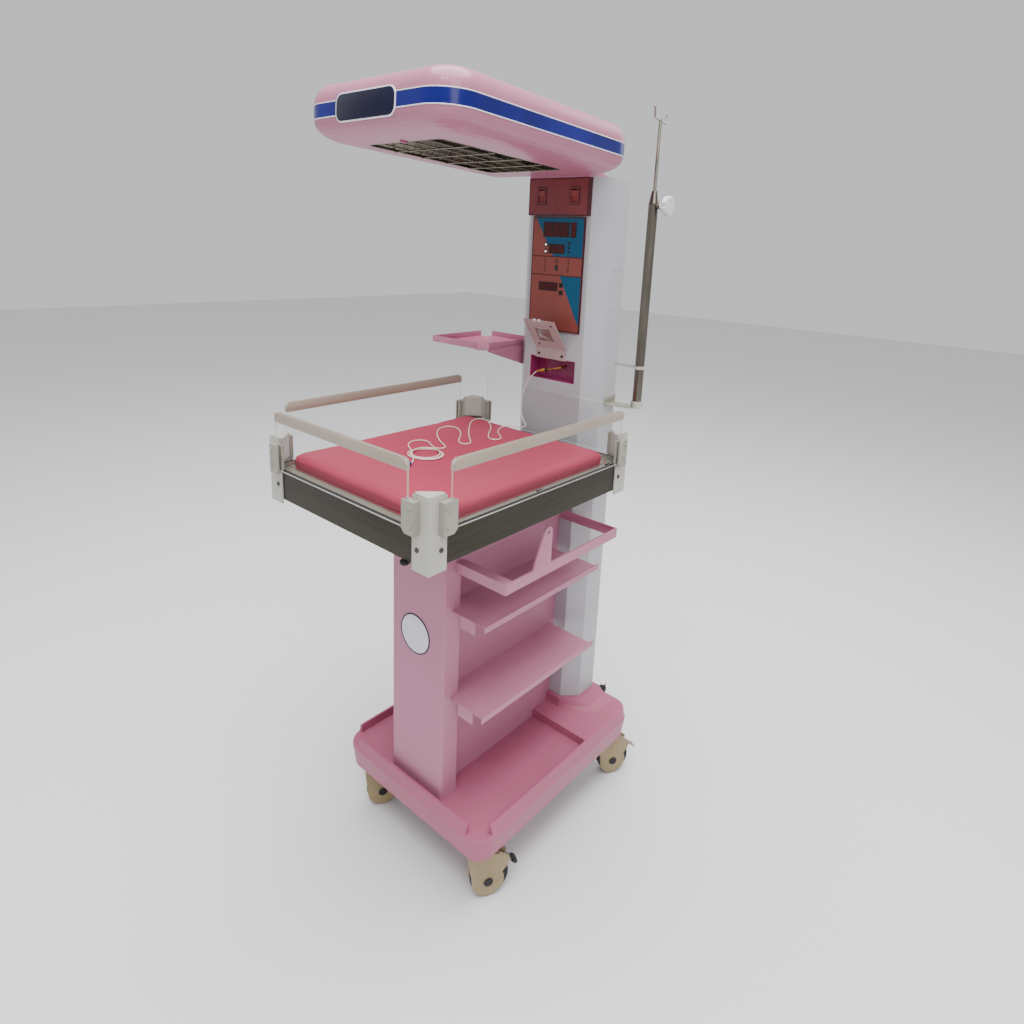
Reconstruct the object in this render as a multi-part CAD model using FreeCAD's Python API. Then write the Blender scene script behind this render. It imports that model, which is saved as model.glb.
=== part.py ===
# Infant radiant warmer: heater hood on an octagonal column, bed with four clear
# panels, controller, pole, side tray, shelves and a moulded base on four castors.
# Millimetres. X to the right seen from the foot of the bed, Y to the column, Z up.
import FreeCAD
import Part
import math
import os

V = FreeCAD.Vector
UP = V(0, 0, 1)

# Clearances
RUN_GAP = 0.3        # between faces of bodies that move past each other
PIN_GAP = 0.08       # radial, pin in its hole
SLIP_GAP = 0.4       # a panel in its slot, each side

# Base moulding
BASE_HALF_X = 256.0
BASE_FRONT_Y = -181.0
BASE_REAR_Y = 469.0
BASE_CORNER_R = 42.0
BASE_FLARE = 8.0
SHOULDER_Z = 206.0
SHOULDER_STEP = 3.0
BASE_WALL = 5.0
SKIRT_Z = 147.0
DECK_Z = 214.0
REAR_DECK_Z = 238.0
STEP_Y = 250.0
LIP_WIDTH = 7.0
LIP_NOTCH = (44.0, 38.0)
EDGE_ROUND = 4.0
COLLAR_WIDTH = 14.0
COLLAR_HEIGHT = 26.0
COLLAR_FLARE = 52.0
UNDERFRAME_DEPTH = 52.0
UNDERFRAME_WIDTH = 70.0
UNDERFRAME_SHEET = 3.0

# Castors
STEM_X = 208.0
STEM_FRONT_Y = -137.0
STEM_REAR_Y = 424.0
TRAIL = 32.0
TRAIL_ANGLE = 60.0
WHEEL_R = 50.0
WHEEL_WIDTH = 24.0
CHEEK_R = 41.0
CHEEK_SHIFT = 7.0
CHEEK_DROP = 4.0
CHEEK_THICK = 5.5
CHEEK_BOSS_R = 13.0
BOSS_PROUD = 1.5
WHEEL_SIDE_GAP = 1.5
AXLE_R = 4.0
KINGPIN_R = 6.0
CASTOR_PLATE = 62.0
CASTOR_PLATE_THICK = 4.0
PEDAL_PIVOT_U = 60.0
PEDAL_PIVOT_Z = 104.0
PEDAL_TIP_U = 103.0
PEDAL_TIP_Z = 72.0
PEDAL_WIDTH = 19.0
PEDAL_SHEET = 3.0
PEDAL_PIN_R = 3.0

# Column
COLUMN_HALF_X = 140.4
COLUMN_CHAMFER = 40.1
COLUMN_FRONT_Y = 328.0
COLUMN_REAR_Y = 439.0
COLUMN_TOP_Z = 1764.0
COLUMN_SHEET = 2.5
COVER_SHEET = 2.0
COVER_INSET = 6.0
ACCESSORY_HOLE_R = 2.5
ACCESSORY_HOLES = ((393.0, 1534.0), (419.0, 1534.0), (403.0, 1426.0))

# Pedestal, web and shelves
PEDESTAL_HALF_X = 95.0
PEDESTAL_FRONT_Y = -158.0
PEDESTAL_REAR_Y = -105.0
PEDESTAL_BEND_R = 8.0
WEB_HALF_X = 58.0
SHEET = 2.0
SHELF_EDGE_X = 203.0
SHELF_FRONT_Y = -132.0
SHELF_REAR_Y = 310.0
SHELF_TOPS = (499.0, 738.0)
SHELF_LIP = 15.0
SHELF_LIP_OVERRUN = 15.0
SHELF_TAB_X = (123.0, 172.0)
SHELF_TAB_DROP = 33.0
FRAME_EDGE_X = 252.0
FRAME_FRONT_Y = -122.0
FRAME_REAR_Y = 325.0
FRAME_TOP_Z = 860.0
FRAME_DEPTH = 26.0
FRAME_BAR = 5.0
FRAME_FRONT_BAR = 26.0
TAB_FRONT_Y = -29.0
TAB_REAR_Y = 38.0
TAB_TOP_Z = 956.0
TAB_TOP_R = 15.0
TAB_HOLE_R = 4.0

# Bed
BED_HALF_X = 275.0
BED_FRONT_Y = -372.0
BED_REAR_Y = 303.0
POST_FLANGE = 47.0
POST_SHEET = 3.0
POST_BOTTOM_Z = 980.0
POST_TOP_Z = 1132.0
BLOCK_BOTTOM_Z = 1080.0
BLOCK_TOP_Z = 1137.0
APRON_BOTTOM_Z = 991.0
APRON_TOP_Z = 1063.0
APRON_SHEET = 1.5
TRAY_FLOOR_Z = 1052.0
TRAY_SHEET = 1.5
HEM_GAP = 1.0
LEDGE_WIDTH = 12.0
MATTRESS_TOP_Z = 1090.0
MATTRESS_SIDE_GAPS = (17.0, 23.0)
MATTRESS_END_GAPS = (28.0, 43.0)
MATTRESS_CORNER_R = 22.0
POST_SCREW_Z = 1025.0
POST_SCREW_INSET = 32.0

# Bed panels and their holders
PANEL_OUT = 9.0
PANEL_SHEET = 5.0
PANEL_BOTTOM_Z = 1066.0
PANEL_TOP_Z = 1204.0
REAR_PANEL_TOP_Z = 1197.0
END_PANEL_INSET = 48.0
SIDE_PANEL_INSET = 48.5
RAIL_HEIGHT = 23.0
RAIL_THICK = 9.0
RAIL_END_R = 12.0
HOLDER_WIDTH = 35.0
HOLDER_GRIP = 13.0
HOLDER_OUT = 15.5
HOLDER_BOTTOM_Z = 1058.0
HOLDER_TOP_Z = 1125.0
HOLDER_TAPER = 9.0

# Controller and switches
SWITCH_BOX_HALF_X = 98.0
SWITCH_BOX_Z = (1667.0, 1762.0)
SWITCH_BOX_PROUD = 14.0
ROCKER_X = 54.0
ROCKER_Z = 1717.0
ROCKER_WIDTH = 20.0
ROCKER_HEIGHT = 30.0
ROCKER_TILT = 8.0
ROCKER_PIN_R = 1.5
BEZEL_WALL = 4.0
BEZEL_PROUD = 1.5
PLATE_HALF_X = 86.0
PLATE_Z = (1363.0, 1664.0)
PLATE_PROUD = 6.0
WINDOW_DEPTH = 1.5
WINDOW_PROUD = 0.5
WINDOWS = (
    (-49.0, 38.0, 1612.0, 1651.0),
    (42.0, 61.0, 1612.0, 1651.0),
    (-28.0, 25.0, 1569.0, 1594.0),
    (-56.0, 8.0, 1470.0, 1493.0),
)
KEY_SIZE = 8.0
KEY_X = 20.0
KEY_PROUD = 2.5
KEY_DEPTH = 4.0
KEY_Z = (1487.0, 1467.0)

# Chart plate and probe pocket
CHART_X = (-59.0, 47.0)
CHART_FOOT_Z = 1283.0
CHART_BEND_Z = 1312.0
CHART_TOP_Y = 264.0
CHART_TOP_Z = 1393.0
CHART_SHEET = 2.0
CHART_WINDOW = (50.0, 46.0)
CHART_SCREW_SPAN = 80.0
CHART_SCREW_Z = 1295.0
POCKET_HALF_X = 78.0
POCKET_Z = (1224.0, 1286.0)
POCKET_DEPTH = 42.0
POCKET_SHEET = 1.5

# Side tray
TRAY_X = (-350.0, -145.0)
TRAY_Y = (200.0, 430.0)
TRAY_Z = 1300.0
TRAY_LIP = 18.0
TRAY_NOTCH = 26.0
GUSSET_THICK = 4.0
GUSSET_DROP = 55.0

# Pole
POLE_X = 218.0
POLE_Y = 430.0
POLE_R = 12.5
POLE_WALL = 1.5
POLE_BOTTOM_Z = 1172.0
POLE_TOP_Z = 1704.0
POLE_CONE_Z = 1735.0
ROD_R = 4.5
ROD_BOTTOM_Z = 1410.0
ROD_TOP_Z = 1906.0
HOOK_ARM = 52.0
HOOK_RISE = 24.0
HOOK_WIRE_R = 2.5
HOOK_TURN = 15.0
KNOB_R = 25.0
KNOB_THICK = 16.0
KNOB_X = 259.0
KNOB_Z = 1698.0
SCREW_R = 3.0
BOSS_REACH = 8.0
BOSS_R = 6.0
STRAP_Z = 1281.0

# Hood, drawn level about the middle of its stripe and then tipped nose-up
HOOD_TILT = 2.7
HOOD_MID_X = -9.0
HOOD_HALF_X = 228.0
HOOD_FRONT_Y = -292.0
HOOD_REAR_Y = 327.0
HOOD_FRONT_R = 72.0
HOOD_REAR_R = 80.0
HOOD_STRIPE_Z = 1812.0
HOOD_STRIPE = 29.0
STRIPE_PROUD = 0.6
HOOD_RISE = 60.0
HOOD_CROWN_R = 42.0
HOOD_DROP = 54.0
HOOD_UNDERCUT = 80.0
HOOD_BELLY_STEPS = 8
HOOD_SHELL = 3.0
MOUTH_HALF_X = 118.0
MOUTH_Y = (-203.0, 190.0)
MOUTH_R = 18.0
GUARD_WIRE_R = 1.8
GUARD_BARS = 4
GUARD_BAR_SHARE = 0.9
GUARD_TIES = 4
REFLECTOR_TOP_HALF = 84.0
REFLECTOR_SHEET = 1.2
HEATER_R = 6.0
HEATER_SPAN = 80.0
HEATER_Y = (-150.0, 135.0)
NECK_HALF_X = 97.0
NECK_REAR_Y = 396.0
NECK_GAP = 0.6

# Cords
MAINS_R = 3.5
MAINS_TURNS_WIDE = 3
MAINS_TURNS_HIGH = 3
MAINS_COIL_R = 38.5
MAINS_COIL_AT = (-14.0, 672.0)
GLAND_AT = (34.0, 300.0)
GLAND_LENGTH = 28.0
LEAD_R = 1.5
LEAD_COIL_AT = (-31.0, -108.0)
LEAD_COIL_R = (30.0, 47.0)
LEAD_COIL_HEIGHT = 6.0

parts = {}


def box(x0, x1, y0, y1, z0, z1):
    return Part.makeBox(x1 - x0, y1 - y0, z1 - z0, V(x0, y0, z0))


def prism(points, rise):
    """Solid of a closed polygon of 3-D points pushed along a vector."""
    corners = [V(*p) for p in points]
    return Part.Face(Part.makePolygon(corners + corners[:1])).extrude(rise)


def along_z(points, z0, z1):
    return prism([(x, y, z0) for x, y in points], V(0, 0, z1 - z0))


def along_x(points, x0, x1):
    return prism([(x0, y, z) for y, z in points], V(x1 - x0, 0, 0))


def along_y(points, y0, y1):
    return prism([(x, y0, z) for x, z in points], V(0, y1 - y0, 0))


def rod(start, end, radius):
    a = V(*start)
    b = V(*end)
    return Part.makeCylinder(radius, (b - a).Length, a, b - a)


def fuse(shapes):
    whole = shapes[0]
    if len(shapes) > 1:
        whole = whole.fuse(list(shapes[1:]))
    return whole.removeSplitter()


def group(shapes):
    return Part.Compound(list(shapes))


def mirrored(shape, middle=V(0, 0, 0), normal=V(1, 0, 0)):
    return shape.mirror(middle, normal)


def rounded_outline(half_x, y0, y1, z, front_r, rear_r):
    """Closed wire of a rectangle whose front and rear corners have their own radii."""
    corners = (
        (half_x, y0, front_r, -90.0),
        (half_x, y1, rear_r, 0.0),
        (-half_x, y1, rear_r, 90.0),
        (-half_x, y0, front_r, 180.0),
    )
    edges = []
    ends = []
    for x, y, r, start in corners:
        centre = V(x - math.copysign(r, x), y + (r if y == y0 else -r), z)
        angles = [math.radians(start + turn) for turn in (0.0, 45.0, 90.0)]
        a, m, b = [centre + V(r * math.cos(t), r * math.sin(t), 0) for t in angles]
        edges.append(Part.Arc(a, m, b).toShape())
        ends.append((a, b))
    wire = []
    for i, edge in enumerate(edges):
        wire.append(edge)
        wire.append(Part.LineSegment(ends[i][1], ends[(i + 1) % 4][0]).toShape())
    return Part.Wire(wire)


def rounded_block(half_x, y0, y1, z0, z1, front_r, rear_r=None):
    wire = rounded_outline(half_x, y0, y1, z0, front_r, rear_r or front_r)
    return Part.Face(wire).extrude(V(0, 0, z1 - z0))


def edges_at_z(shape, z, tolerance=0.01):
    """Edges that lie whole in one level plane."""
    found = []
    for edge in shape.Edges:
        heights = [v.Z for v in edge.Vertexes] + [edge.valueAt(edge.FirstParameter).z]
        if all(abs(h - z) < tolerance for h in heights):
            found.append(edge)
    return found


def column_outline(grow=0.0, sides=0.0):
    """Corners of the column's section, moved outwards; its sides by `sides` more."""
    half = COLUMN_HALF_X + grow + sides
    front = COLUMN_FRONT_Y - grow
    chamfer = COLUMN_CHAMFER + grow * (2.0 - math.sqrt(2.0)) + sides
    rear = COLUMN_REAR_Y + grow
    return [
        (-half + chamfer, front), (half - chamfer, front), (half, front + chamfer - sides),
        (half, rear), (-half, rear), (-half, front + chamfer - sides),
    ]


def base_outline(grow, z):
    r = BASE_CORNER_R + grow
    return rounded_outline(BASE_HALF_X + grow, BASE_FRONT_Y - grow, BASE_REAR_Y + grow, z, r, r)


def base_body():
    """Base moulding before its underside is hollowed: the skirt flares up to a shoulder at
    deck height, and lips stand inboard of it."""
    body = Part.makeLoft([
        base_outline(0.0, SKIRT_Z), base_outline(BASE_FLARE, SHOULDER_Z),
        base_outline(BASE_FLARE - SHOULDER_STEP, DECK_Z), base_outline(0.0, REAR_DECK_Z),
    ], True, True)
    body = body.makeFillet(EDGE_ROUND, edges_at_z(body, REAR_DECK_Z))
    inner = BASE_HALF_X - LIP_WIDTH
    well_front = BASE_FRONT_Y + LIP_WIDTH
    well = rounded_block(inner, well_front, STEP_Y, DECK_Z, REAR_DECK_Z + 1,
                         BASE_CORNER_R - LIP_WIDTH, 4.0)
    body = body.cut(well)
    reach = BASE_FLARE + 1
    for side in (-1, 1):
        xs = sorted((side * (BASE_HALF_X - LIP_NOTCH[0]), side * (BASE_HALF_X + reach)))
        notch = box(xs[0], xs[1], BASE_FRONT_Y - reach, BASE_FRONT_Y + LIP_NOTCH[1],
                    DECK_Z, REAR_DECK_Z + 1)
        body = body.cut(notch)
    rings = (
        (COLLAR_WIDTH + 3, COLLAR_FLARE, REAR_DECK_Z - 1),
        (COLLAR_WIDTH + 1, COLLAR_FLARE * 0.45, REAR_DECK_Z + COLLAR_HEIGHT * 0.3),
        (COLLAR_WIDTH, 0.0, REAR_DECK_Z + COLLAR_HEIGHT),
    )
    wires = []
    for grow, sides, z in rings:
        corners = [V(x, y, z) for x, y in column_outline(grow, sides)]
        wires.append(Part.makePolygon(corners + corners[:1]))
    collar = Part.makeLoft(wires, True, True)
    footprint = rounded_block(BASE_HALF_X - 2, BASE_FRONT_Y, BASE_REAR_Y - 2, SKIRT_Z,
                              REAR_DECK_Z + COLLAR_HEIGHT, BASE_CORNER_R - 2)
    return body.fuse(collar.common(footprint)).removeSplitter()


def base_shell(body):
    seat = along_z(column_outline(0.5), REAR_DECK_Z, REAR_DECK_Z + COLLAR_HEIGHT + 1)
    inner = BASE_HALF_X - BASE_WALL
    front = BASE_FRONT_Y + BASE_WALL
    rear = BASE_REAR_Y - BASE_WALL
    low = rounded_block(inner, front, STEP_Y + BASE_WALL, SKIRT_Z - 1, DECK_Z - BASE_WALL,
                        BASE_CORNER_R - BASE_WALL, 4.0)
    high = rounded_block(inner, STEP_Y + BASE_WALL - 10, rear, SKIRT_Z - 1,
                         REAR_DECK_Z - BASE_WALL, 4.0, BASE_CORNER_R - BASE_WALL)
    step = box(-inner, inner, STEP_Y - 20, STEP_Y + BASE_WALL, DECK_Z - BASE_WALL, REAR_DECK_Z)
    hollow = low.fuse(high.cut(step))
    return body.cut(hollow).cut(seat)


def base_underframe():
    """Two folded cross channels under the deck, with the castor plates and kingpins."""
    pieces = []
    half = BASE_HALF_X - BASE_WALL - 2
    top = DECK_Z - BASE_WALL
    bottom = SKIRT_Z - 2
    for y in (STEM_FRONT_Y, STEM_REAR_Y):
        w = UNDERFRAME_WIDTH / 2
        if y < 0:
            y_mid = BASE_FRONT_Y + BASE_WALL + w + 1
            channel_top = top
        else:
            y_mid = BASE_REAR_Y - BASE_WALL - w - 6
            channel_top = REAR_DECK_Z - BASE_WALL
        reach = half - 24
        outer = box(-reach, reach, y_mid - w, y_mid + w, bottom, channel_top)
        inside = box(-reach - 1, reach + 1, y_mid - w + UNDERFRAME_SHEET,
                     y_mid + w - UNDERFRAME_SHEET, bottom + UNDERFRAME_SHEET,
                     channel_top - UNDERFRAME_SHEET)
        inset = BASE_WALL + RUN_GAP
        inside_skirt = rounded_block(BASE_HALF_X - inset, BASE_FRONT_Y + inset,
                                     BASE_REAR_Y - inset, bottom - 1, channel_top + 1,
                                     BASE_CORNER_R - BASE_WALL)
        channel = outer.cut(inside).common(inside_skirt)
        for side in (-1, 1):
            x = side * STEM_X
            p = CASTOR_PLATE / 2
            plate = box(x - p, x + p, y - p, y + p, bottom - CASTOR_PLATE_THICK, bottom)
            z_pin = bottom - CASTOR_PLATE_THICK - 19
            pin = rod((x, y, z_pin), (x, y, bottom), KINGPIN_R)
            channel = channel.fuse(plate.fuse(pin))
        pieces.append(channel.removeSplitter())
    return group(pieces)


def castor_top_z():
    return SKIRT_Z - 2 - CASTOR_PLATE_THICK - RUN_GAP


def castor_fork():
    """Fork in the castor's own frame: stem on Z, trailing along X, wheel axis on Y."""
    half = WHEEL_WIDTH / 2 + WHEEL_SIDE_GAP + CHEEK_THICK
    cheek_u = TRAIL - CHEEK_SHIFT
    top = castor_top_z()
    cheek_z = WHEEL_R - CHEEK_DROP
    cheeks = rod((cheek_u, -half, cheek_z), (cheek_u, half, cheek_z), CHEEK_R)
    hood = along_y([
        (cheek_u - CHEEK_R, cheek_z), (cheek_u - CHEEK_R - 6, 100), (-22, top - 12),
        (24, top - 12), (54, 122), (79, 102), (72, 80), (44, cheek_z),
    ], -half, half)
    head = Part.makeCylinder(24.0, 14.0, V(0, 0, top - 14))
    body = cheeks.fuse([hood, head]).removeSplitter()
    gap = WHEEL_WIDTH / 2 + WHEEL_SIDE_GAP
    slot = rod((TRAIL, -gap, WHEEL_R), (TRAIL, gap, WHEEL_R), WHEEL_R + 3)
    mouth = box(-60, 140, -gap, gap, -1, WHEEL_R)
    body = body.cut(slot).cut(mouth)
    tongue = PEDAL_WIDTH / 2 + RUN_GAP
    body = body.cut(box(PEDAL_PIVOT_U - 8, 120, -tongue, tongue, WHEEL_R, 140))
    body = body.cut(rod((PEDAL_PIVOT_U, -half - 1, PEDAL_PIVOT_Z),
                        (PEDAL_PIVOT_U, half + 1, PEDAL_PIVOT_Z), PEDAL_PIN_R + PIN_GAP))
    body = body.cut(rod((0, 0, top - 21), (0, 0, top + 1), KINGPIN_R + PIN_GAP))
    axle = rod((TRAIL, -half, WHEEL_R), (TRAIL, half, WHEEL_R), AXLE_R)
    bosses = [rod((cheek_u, way * half, cheek_z), (cheek_u, way * (half + BOSS_PROUD), cheek_z),
                  CHEEK_BOSS_R) for way in (-1, 1)]
    return body.fuse([axle] + bosses).removeSplitter()


def castor_wheel():
    """Tyre with a crowned tread on its hub, bored for the axle."""
    half = WHEEL_WIDTH / 2
    bore = AXLE_R + PIN_GAP
    profile = [
        V(bore, 0, -half), V(WHEEL_R - 14, 0, -half), V(WHEEL_R - 11, 0, -half + 2),
        V(WHEEL_R - 5, 0, -half + 1),
    ]
    crown = Part.Arc(profile[-1], V(WHEEL_R, 0, 0), V(WHEEL_R - 5, 0, half - 1)).toShape()
    start = Part.makePolygon(profile)
    end = Part.makePolygon([
        V(WHEEL_R - 5, 0, half - 1), V(WHEEL_R - 11, 0, half - 2), V(WHEEL_R - 14, 0, half),
        V(bore, 0, half), V(bore, 0, -half),
    ])
    face = Part.Face(Part.Wire(start.Edges + [crown] + end.Edges))
    wheel = face.revolve(V(0, 0, 0), UP, 360)
    wheel.rotate(V(0, 0, 0), V(1, 0, 0), 90)
    wheel.translate(V(TRAIL, 0, WHEEL_R))
    return wheel


def castor_pedal():
    """Pressed lever with a rolled hinge barrel, brake shoe, pin and flared tread."""
    w = PEDAL_WIDTH / 2
    pivot = V(PEDAL_PIVOT_U, 0, PEDAL_PIVOT_Z)
    tip = V(PEDAL_TIP_U, 0, PEDAL_TIP_Z)
    run = (tip - pivot).Length
    slope = math.degrees(math.atan2(PEDAL_TIP_Z - PEDAL_PIVOT_Z, PEDAL_TIP_U - PEDAL_PIVOT_U))
    t = PEDAL_SHEET / 2
    lever = along_z([(0, -w), (run * 0.55, -w), (run * 0.68, -w * 0.7), (run, -w * 1.15),
                     (run, w * 1.15), (run * 0.68, w * 0.7), (run * 0.55, w), (0, w)], -t, t)
    shoe = box(4, 16, -w + 2, w - 2, -t - 2.5, -t)
    rib = box(6, run * 0.55, -2, 2, t, t + 2)
    lever = lever.fuse([shoe, rib])
    lever.rotate(V(0, 0, 0), V(0, -1, 0), slope)
    lever.translate(pivot)
    barrel = rod((pivot.x, -w, pivot.z), (pivot.x, w, pivot.z), 5.0)
    reach = WHEEL_WIDTH / 2 + WHEEL_SIDE_GAP + CHEEK_THICK
    pin = rod((pivot.x, -reach, pivot.z), (pivot.x, reach, pivot.z), PEDAL_PIN_R)
    return lever.fuse([barrel, pin]).removeSplitter()


def castors():
    for name, x, y in (
        ("front_left", -STEM_X, STEM_FRONT_Y), ("front_right", STEM_X, STEM_FRONT_Y),
        ("rear_left", -STEM_X, STEM_REAR_Y), ("rear_right", STEM_X, STEM_REAR_Y),
    ):
        for kind, make in (("fork", castor_fork), ("wheel", castor_wheel),
                           ("pedal", castor_pedal)):
            shape = make()
            shape.rotate(V(0, 0, 0), UP, TRAIL_ANGLE)
            shape.translate(V(x, y, 0))
            parts["castor_%s_%s" % (kind, name)] = shape


def bed_support_z():
    return TRAY_FLOOR_Z - TRAY_SHEET


def front_pedestal():
    outer = rounded_block(PEDESTAL_HALF_X, PEDESTAL_FRONT_Y, PEDESTAL_REAR_Y, DECK_Z,
                          bed_support_z(), PEDESTAL_BEND_R, 0.5)
    inner = rounded_block(PEDESTAL_HALF_X - SHEET, PEDESTAL_FRONT_Y + SHEET,
                          PEDESTAL_REAR_Y - SHEET, DECK_Z - 1, bed_support_z() + 1,
                          PEDESTAL_BEND_R - SHEET, 0.5)
    return outer.cut(inner)


def web_panel(body):
    outer = box(-WEB_HALF_X, WEB_HALF_X, PEDESTAL_REAR_Y, COLUMN_FRONT_Y, DECK_Z,
                bed_support_z())
    inner = box(-WEB_HALF_X + SHEET, WEB_HALF_X - SHEET, PEDESTAL_REAR_Y - 1,
                COLUMN_FRONT_Y + 1, DECK_Z - 1, bed_support_z() + 1)
    hem_y = BED_REAR_Y - POST_SHEET - APRON_SHEET - LEDGE_WIDTH - HEM_GAP
    hem = box(-WEB_HALF_X - 1, WEB_HALF_X + 1, hem_y, COLUMN_FRONT_Y + 1,
              APRON_BOTTOM_Z - HEM_GAP, bed_support_z() + 1)
    return outer.cut(inner).cut([body, hem])


def shelf(top):
    """Sheet shelf with a folded outer lip, notched round the pedestal's corner."""
    z = top - SHEET
    plate = along_z([
        (WEB_HALF_X, PEDESTAL_REAR_Y), (PEDESTAL_HALF_X, PEDESTAL_REAR_Y),
        (PEDESTAL_HALF_X, SHELF_FRONT_Y), (SHELF_EDGE_X, SHELF_FRONT_Y),
        (SHELF_EDGE_X, SHELF_REAR_Y), (WEB_HALF_X, SHELF_REAR_Y),
    ], z, top)
    lip = box(SHELF_EDGE_X - SHEET, SHELF_EDGE_X, SHELF_FRONT_Y,
              SHELF_REAR_Y + SHELF_LIP_OVERRUN, top - SHELF_LIP, top)
    tab = box(SHELF_TAB_X[0], SHELF_TAB_X[1], SHELF_FRONT_Y, SHELF_FRONT_Y + SHEET,
              top - SHELF_TAB_DROP, top)
    hem = box(WEB_HALF_X, WEB_HALF_X + SHEET, PEDESTAL_REAR_Y, SHELF_REAR_Y,
              top - SHELF_LIP, top)
    return fuse([plate, lip, tab, hem])


def utility_frame():
    """Open rectangular frame with an upright hook tab on its outer bar."""
    z0 = FRAME_TOP_Z - FRAME_DEPTH
    front = box(PEDESTAL_HALF_X, FRAME_EDGE_X, FRAME_FRONT_Y, FRAME_FRONT_Y + FRAME_FRONT_BAR,
                z0, FRAME_TOP_Z)
    front = front.cut(box(PEDESTAL_HALF_X - 1, FRAME_EDGE_X - FRAME_BAR, FRAME_FRONT_Y + SHEET,
                          FRAME_FRONT_Y + FRAME_FRONT_BAR + 1, z0 - 1, FRAME_TOP_Z - SHEET))
    side = box(FRAME_EDGE_X - FRAME_BAR, FRAME_EDGE_X, FRAME_FRONT_Y, FRAME_REAR_Y,
               z0, FRAME_TOP_Z)
    rear = box(WEB_HALF_X, FRAME_EDGE_X, FRAME_REAR_Y - FRAME_BAR, FRAME_REAR_Y, z0,
               FRAME_TOP_Z)
    inner = box(WEB_HALF_X, WEB_HALF_X + FRAME_BAR, FRAME_FRONT_Y + FRAME_FRONT_BAR,
                FRAME_REAR_Y, z0, FRAME_TOP_Z)
    y_hole = TAB_REAR_Y - TAB_TOP_R
    z_hole = TAB_TOP_Z - TAB_TOP_R
    x0 = FRAME_EDGE_X - FRAME_BAR
    tab = along_x([
        (TAB_FRONT_Y, FRAME_TOP_Z - 1), (TAB_REAR_Y, FRAME_TOP_Z - 1), (TAB_REAR_Y, z_hole),
        (y_hole - TAB_TOP_R * 0.99, z_hole + 1),
    ], x0, FRAME_EDGE_X)
    crown = rod((x0, y_hole, z_hole), (FRAME_EDGE_X, y_hole, z_hole), TAB_TOP_R)
    hole = rod((x0 - 1, y_hole, z_hole), (FRAME_EDGE_X + 1, y_hole, z_hole), TAB_HOLE_R)
    return fuse([front, side, rear, inner, tab, crown]).cut(hole)


def column_shell():
    outer = along_z(column_outline(), REAR_DECK_Z, COLUMN_TOP_Z)
    inner = along_z(column_outline(-COLUMN_SHEET), REAR_DECK_Z - 1, COLUMN_TOP_Z - COLUMN_SHEET)
    shell = outer.cut(inner)
    shell = shell.cut(box(-POCKET_HALF_X, POCKET_HALF_X, COLUMN_FRONT_Y - 1,
                          COLUMN_FRONT_Y + COLUMN_SHEET + 1, *POCKET_Z))
    for y, z in ACCESSORY_HOLES:
        shell = shell.cut(rod((COLUMN_HALF_X - 6, y, z), (COLUMN_HALF_X + 1, y, z),
                              ACCESSORY_HOLE_R))
    return shell


def column_rear_cover():
    half = COLUMN_HALF_X - COVER_INSET
    cover = box(-half, half, COLUMN_REAR_Y, COLUMN_REAR_Y + COVER_SHEET,
                REAR_DECK_Z + COLLAR_HEIGHT + COVER_INSET, COLUMN_TOP_Z - COVER_INSET)
    uprights = [e for e in cover.Edges if abs(e.tangentAt(e.FirstParameter).y) > 0.9]
    return cover.makeFillet(10.0, uprights)


def rocker_y():
    return COLUMN_FRONT_Y - SWITCH_BOX_PROUD + 6.5


def switch_box():
    """Raised box for the two switches, with their black bezels as separate solids."""
    front = COLUMN_FRONT_Y - SWITCH_BOX_PROUD
    body = box(-SWITCH_BOX_HALF_X, SWITCH_BOX_HALF_X, front, COLUMN_FRONT_Y, *SWITCH_BOX_Z)
    body = body.cut(box(-SWITCH_BOX_HALF_X + SHEET, SWITCH_BOX_HALF_X - SHEET, front + SHEET,
                        COLUMN_FRONT_Y + 1, SWITCH_BOX_Z[0] + SHEET, SWITCH_BOX_Z[1] - SHEET))
    solids = []
    half_w = ROCKER_WIDTH / 2 + 2 * RUN_GAP
    half_h = ROCKER_HEIGHT / 2 + 1.5
    for x in (-ROCKER_X, ROCKER_X):
        outer = box(x - half_w - BEZEL_WALL, x + half_w + BEZEL_WALL, front - BEZEL_PROUD,
                    COLUMN_FRONT_Y, ROCKER_Z - half_h - BEZEL_WALL,
                    ROCKER_Z + half_h + BEZEL_WALL)
        hole = box(x - half_w, x + half_w, front - BEZEL_PROUD - 1, COLUMN_FRONT_Y + 1,
                   ROCKER_Z - half_h, ROCKER_Z + half_h)
        body = body.cut(outer)
        reach = half_w + BEZEL_WALL / 2
        pin = rod((x - reach, rocker_y(), ROCKER_Z), (x + reach, rocker_y(), ROCKER_Z),
                  ROCKER_PIN_R + PIN_GAP)
        solids.append(outer.cut(hole).cut(pin))
    return group([body] + solids)


def rocker(x):
    """Rocker cap on its cross pin, at rest with the lower half pressed."""
    w = ROCKER_WIDTH / 2
    h = ROCKER_HEIGHT / 2 - 1
    y = rocker_y()
    cap = along_x([(y - 8, ROCKER_Z - h), (y - 6.2, ROCKER_Z), (y - 8, ROCKER_Z + h),
                   (y - 1, ROCKER_Z + h), (y + 3.5, ROCKER_Z), (y - 1, ROCKER_Z - h)],
                  x - w, x + w)
    reach = w + RUN_GAP * 2 + BEZEL_WALL / 2 - RUN_GAP
    pin = rod((x - reach, y, ROCKER_Z), (x + reach, y, ROCKER_Z), ROCKER_PIN_R)
    shape = cap.fuse(pin).removeSplitter()
    shape.rotate(V(x, y, ROCKER_Z), V(1, 0, 0), ROCKER_TILT)
    return shape


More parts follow.
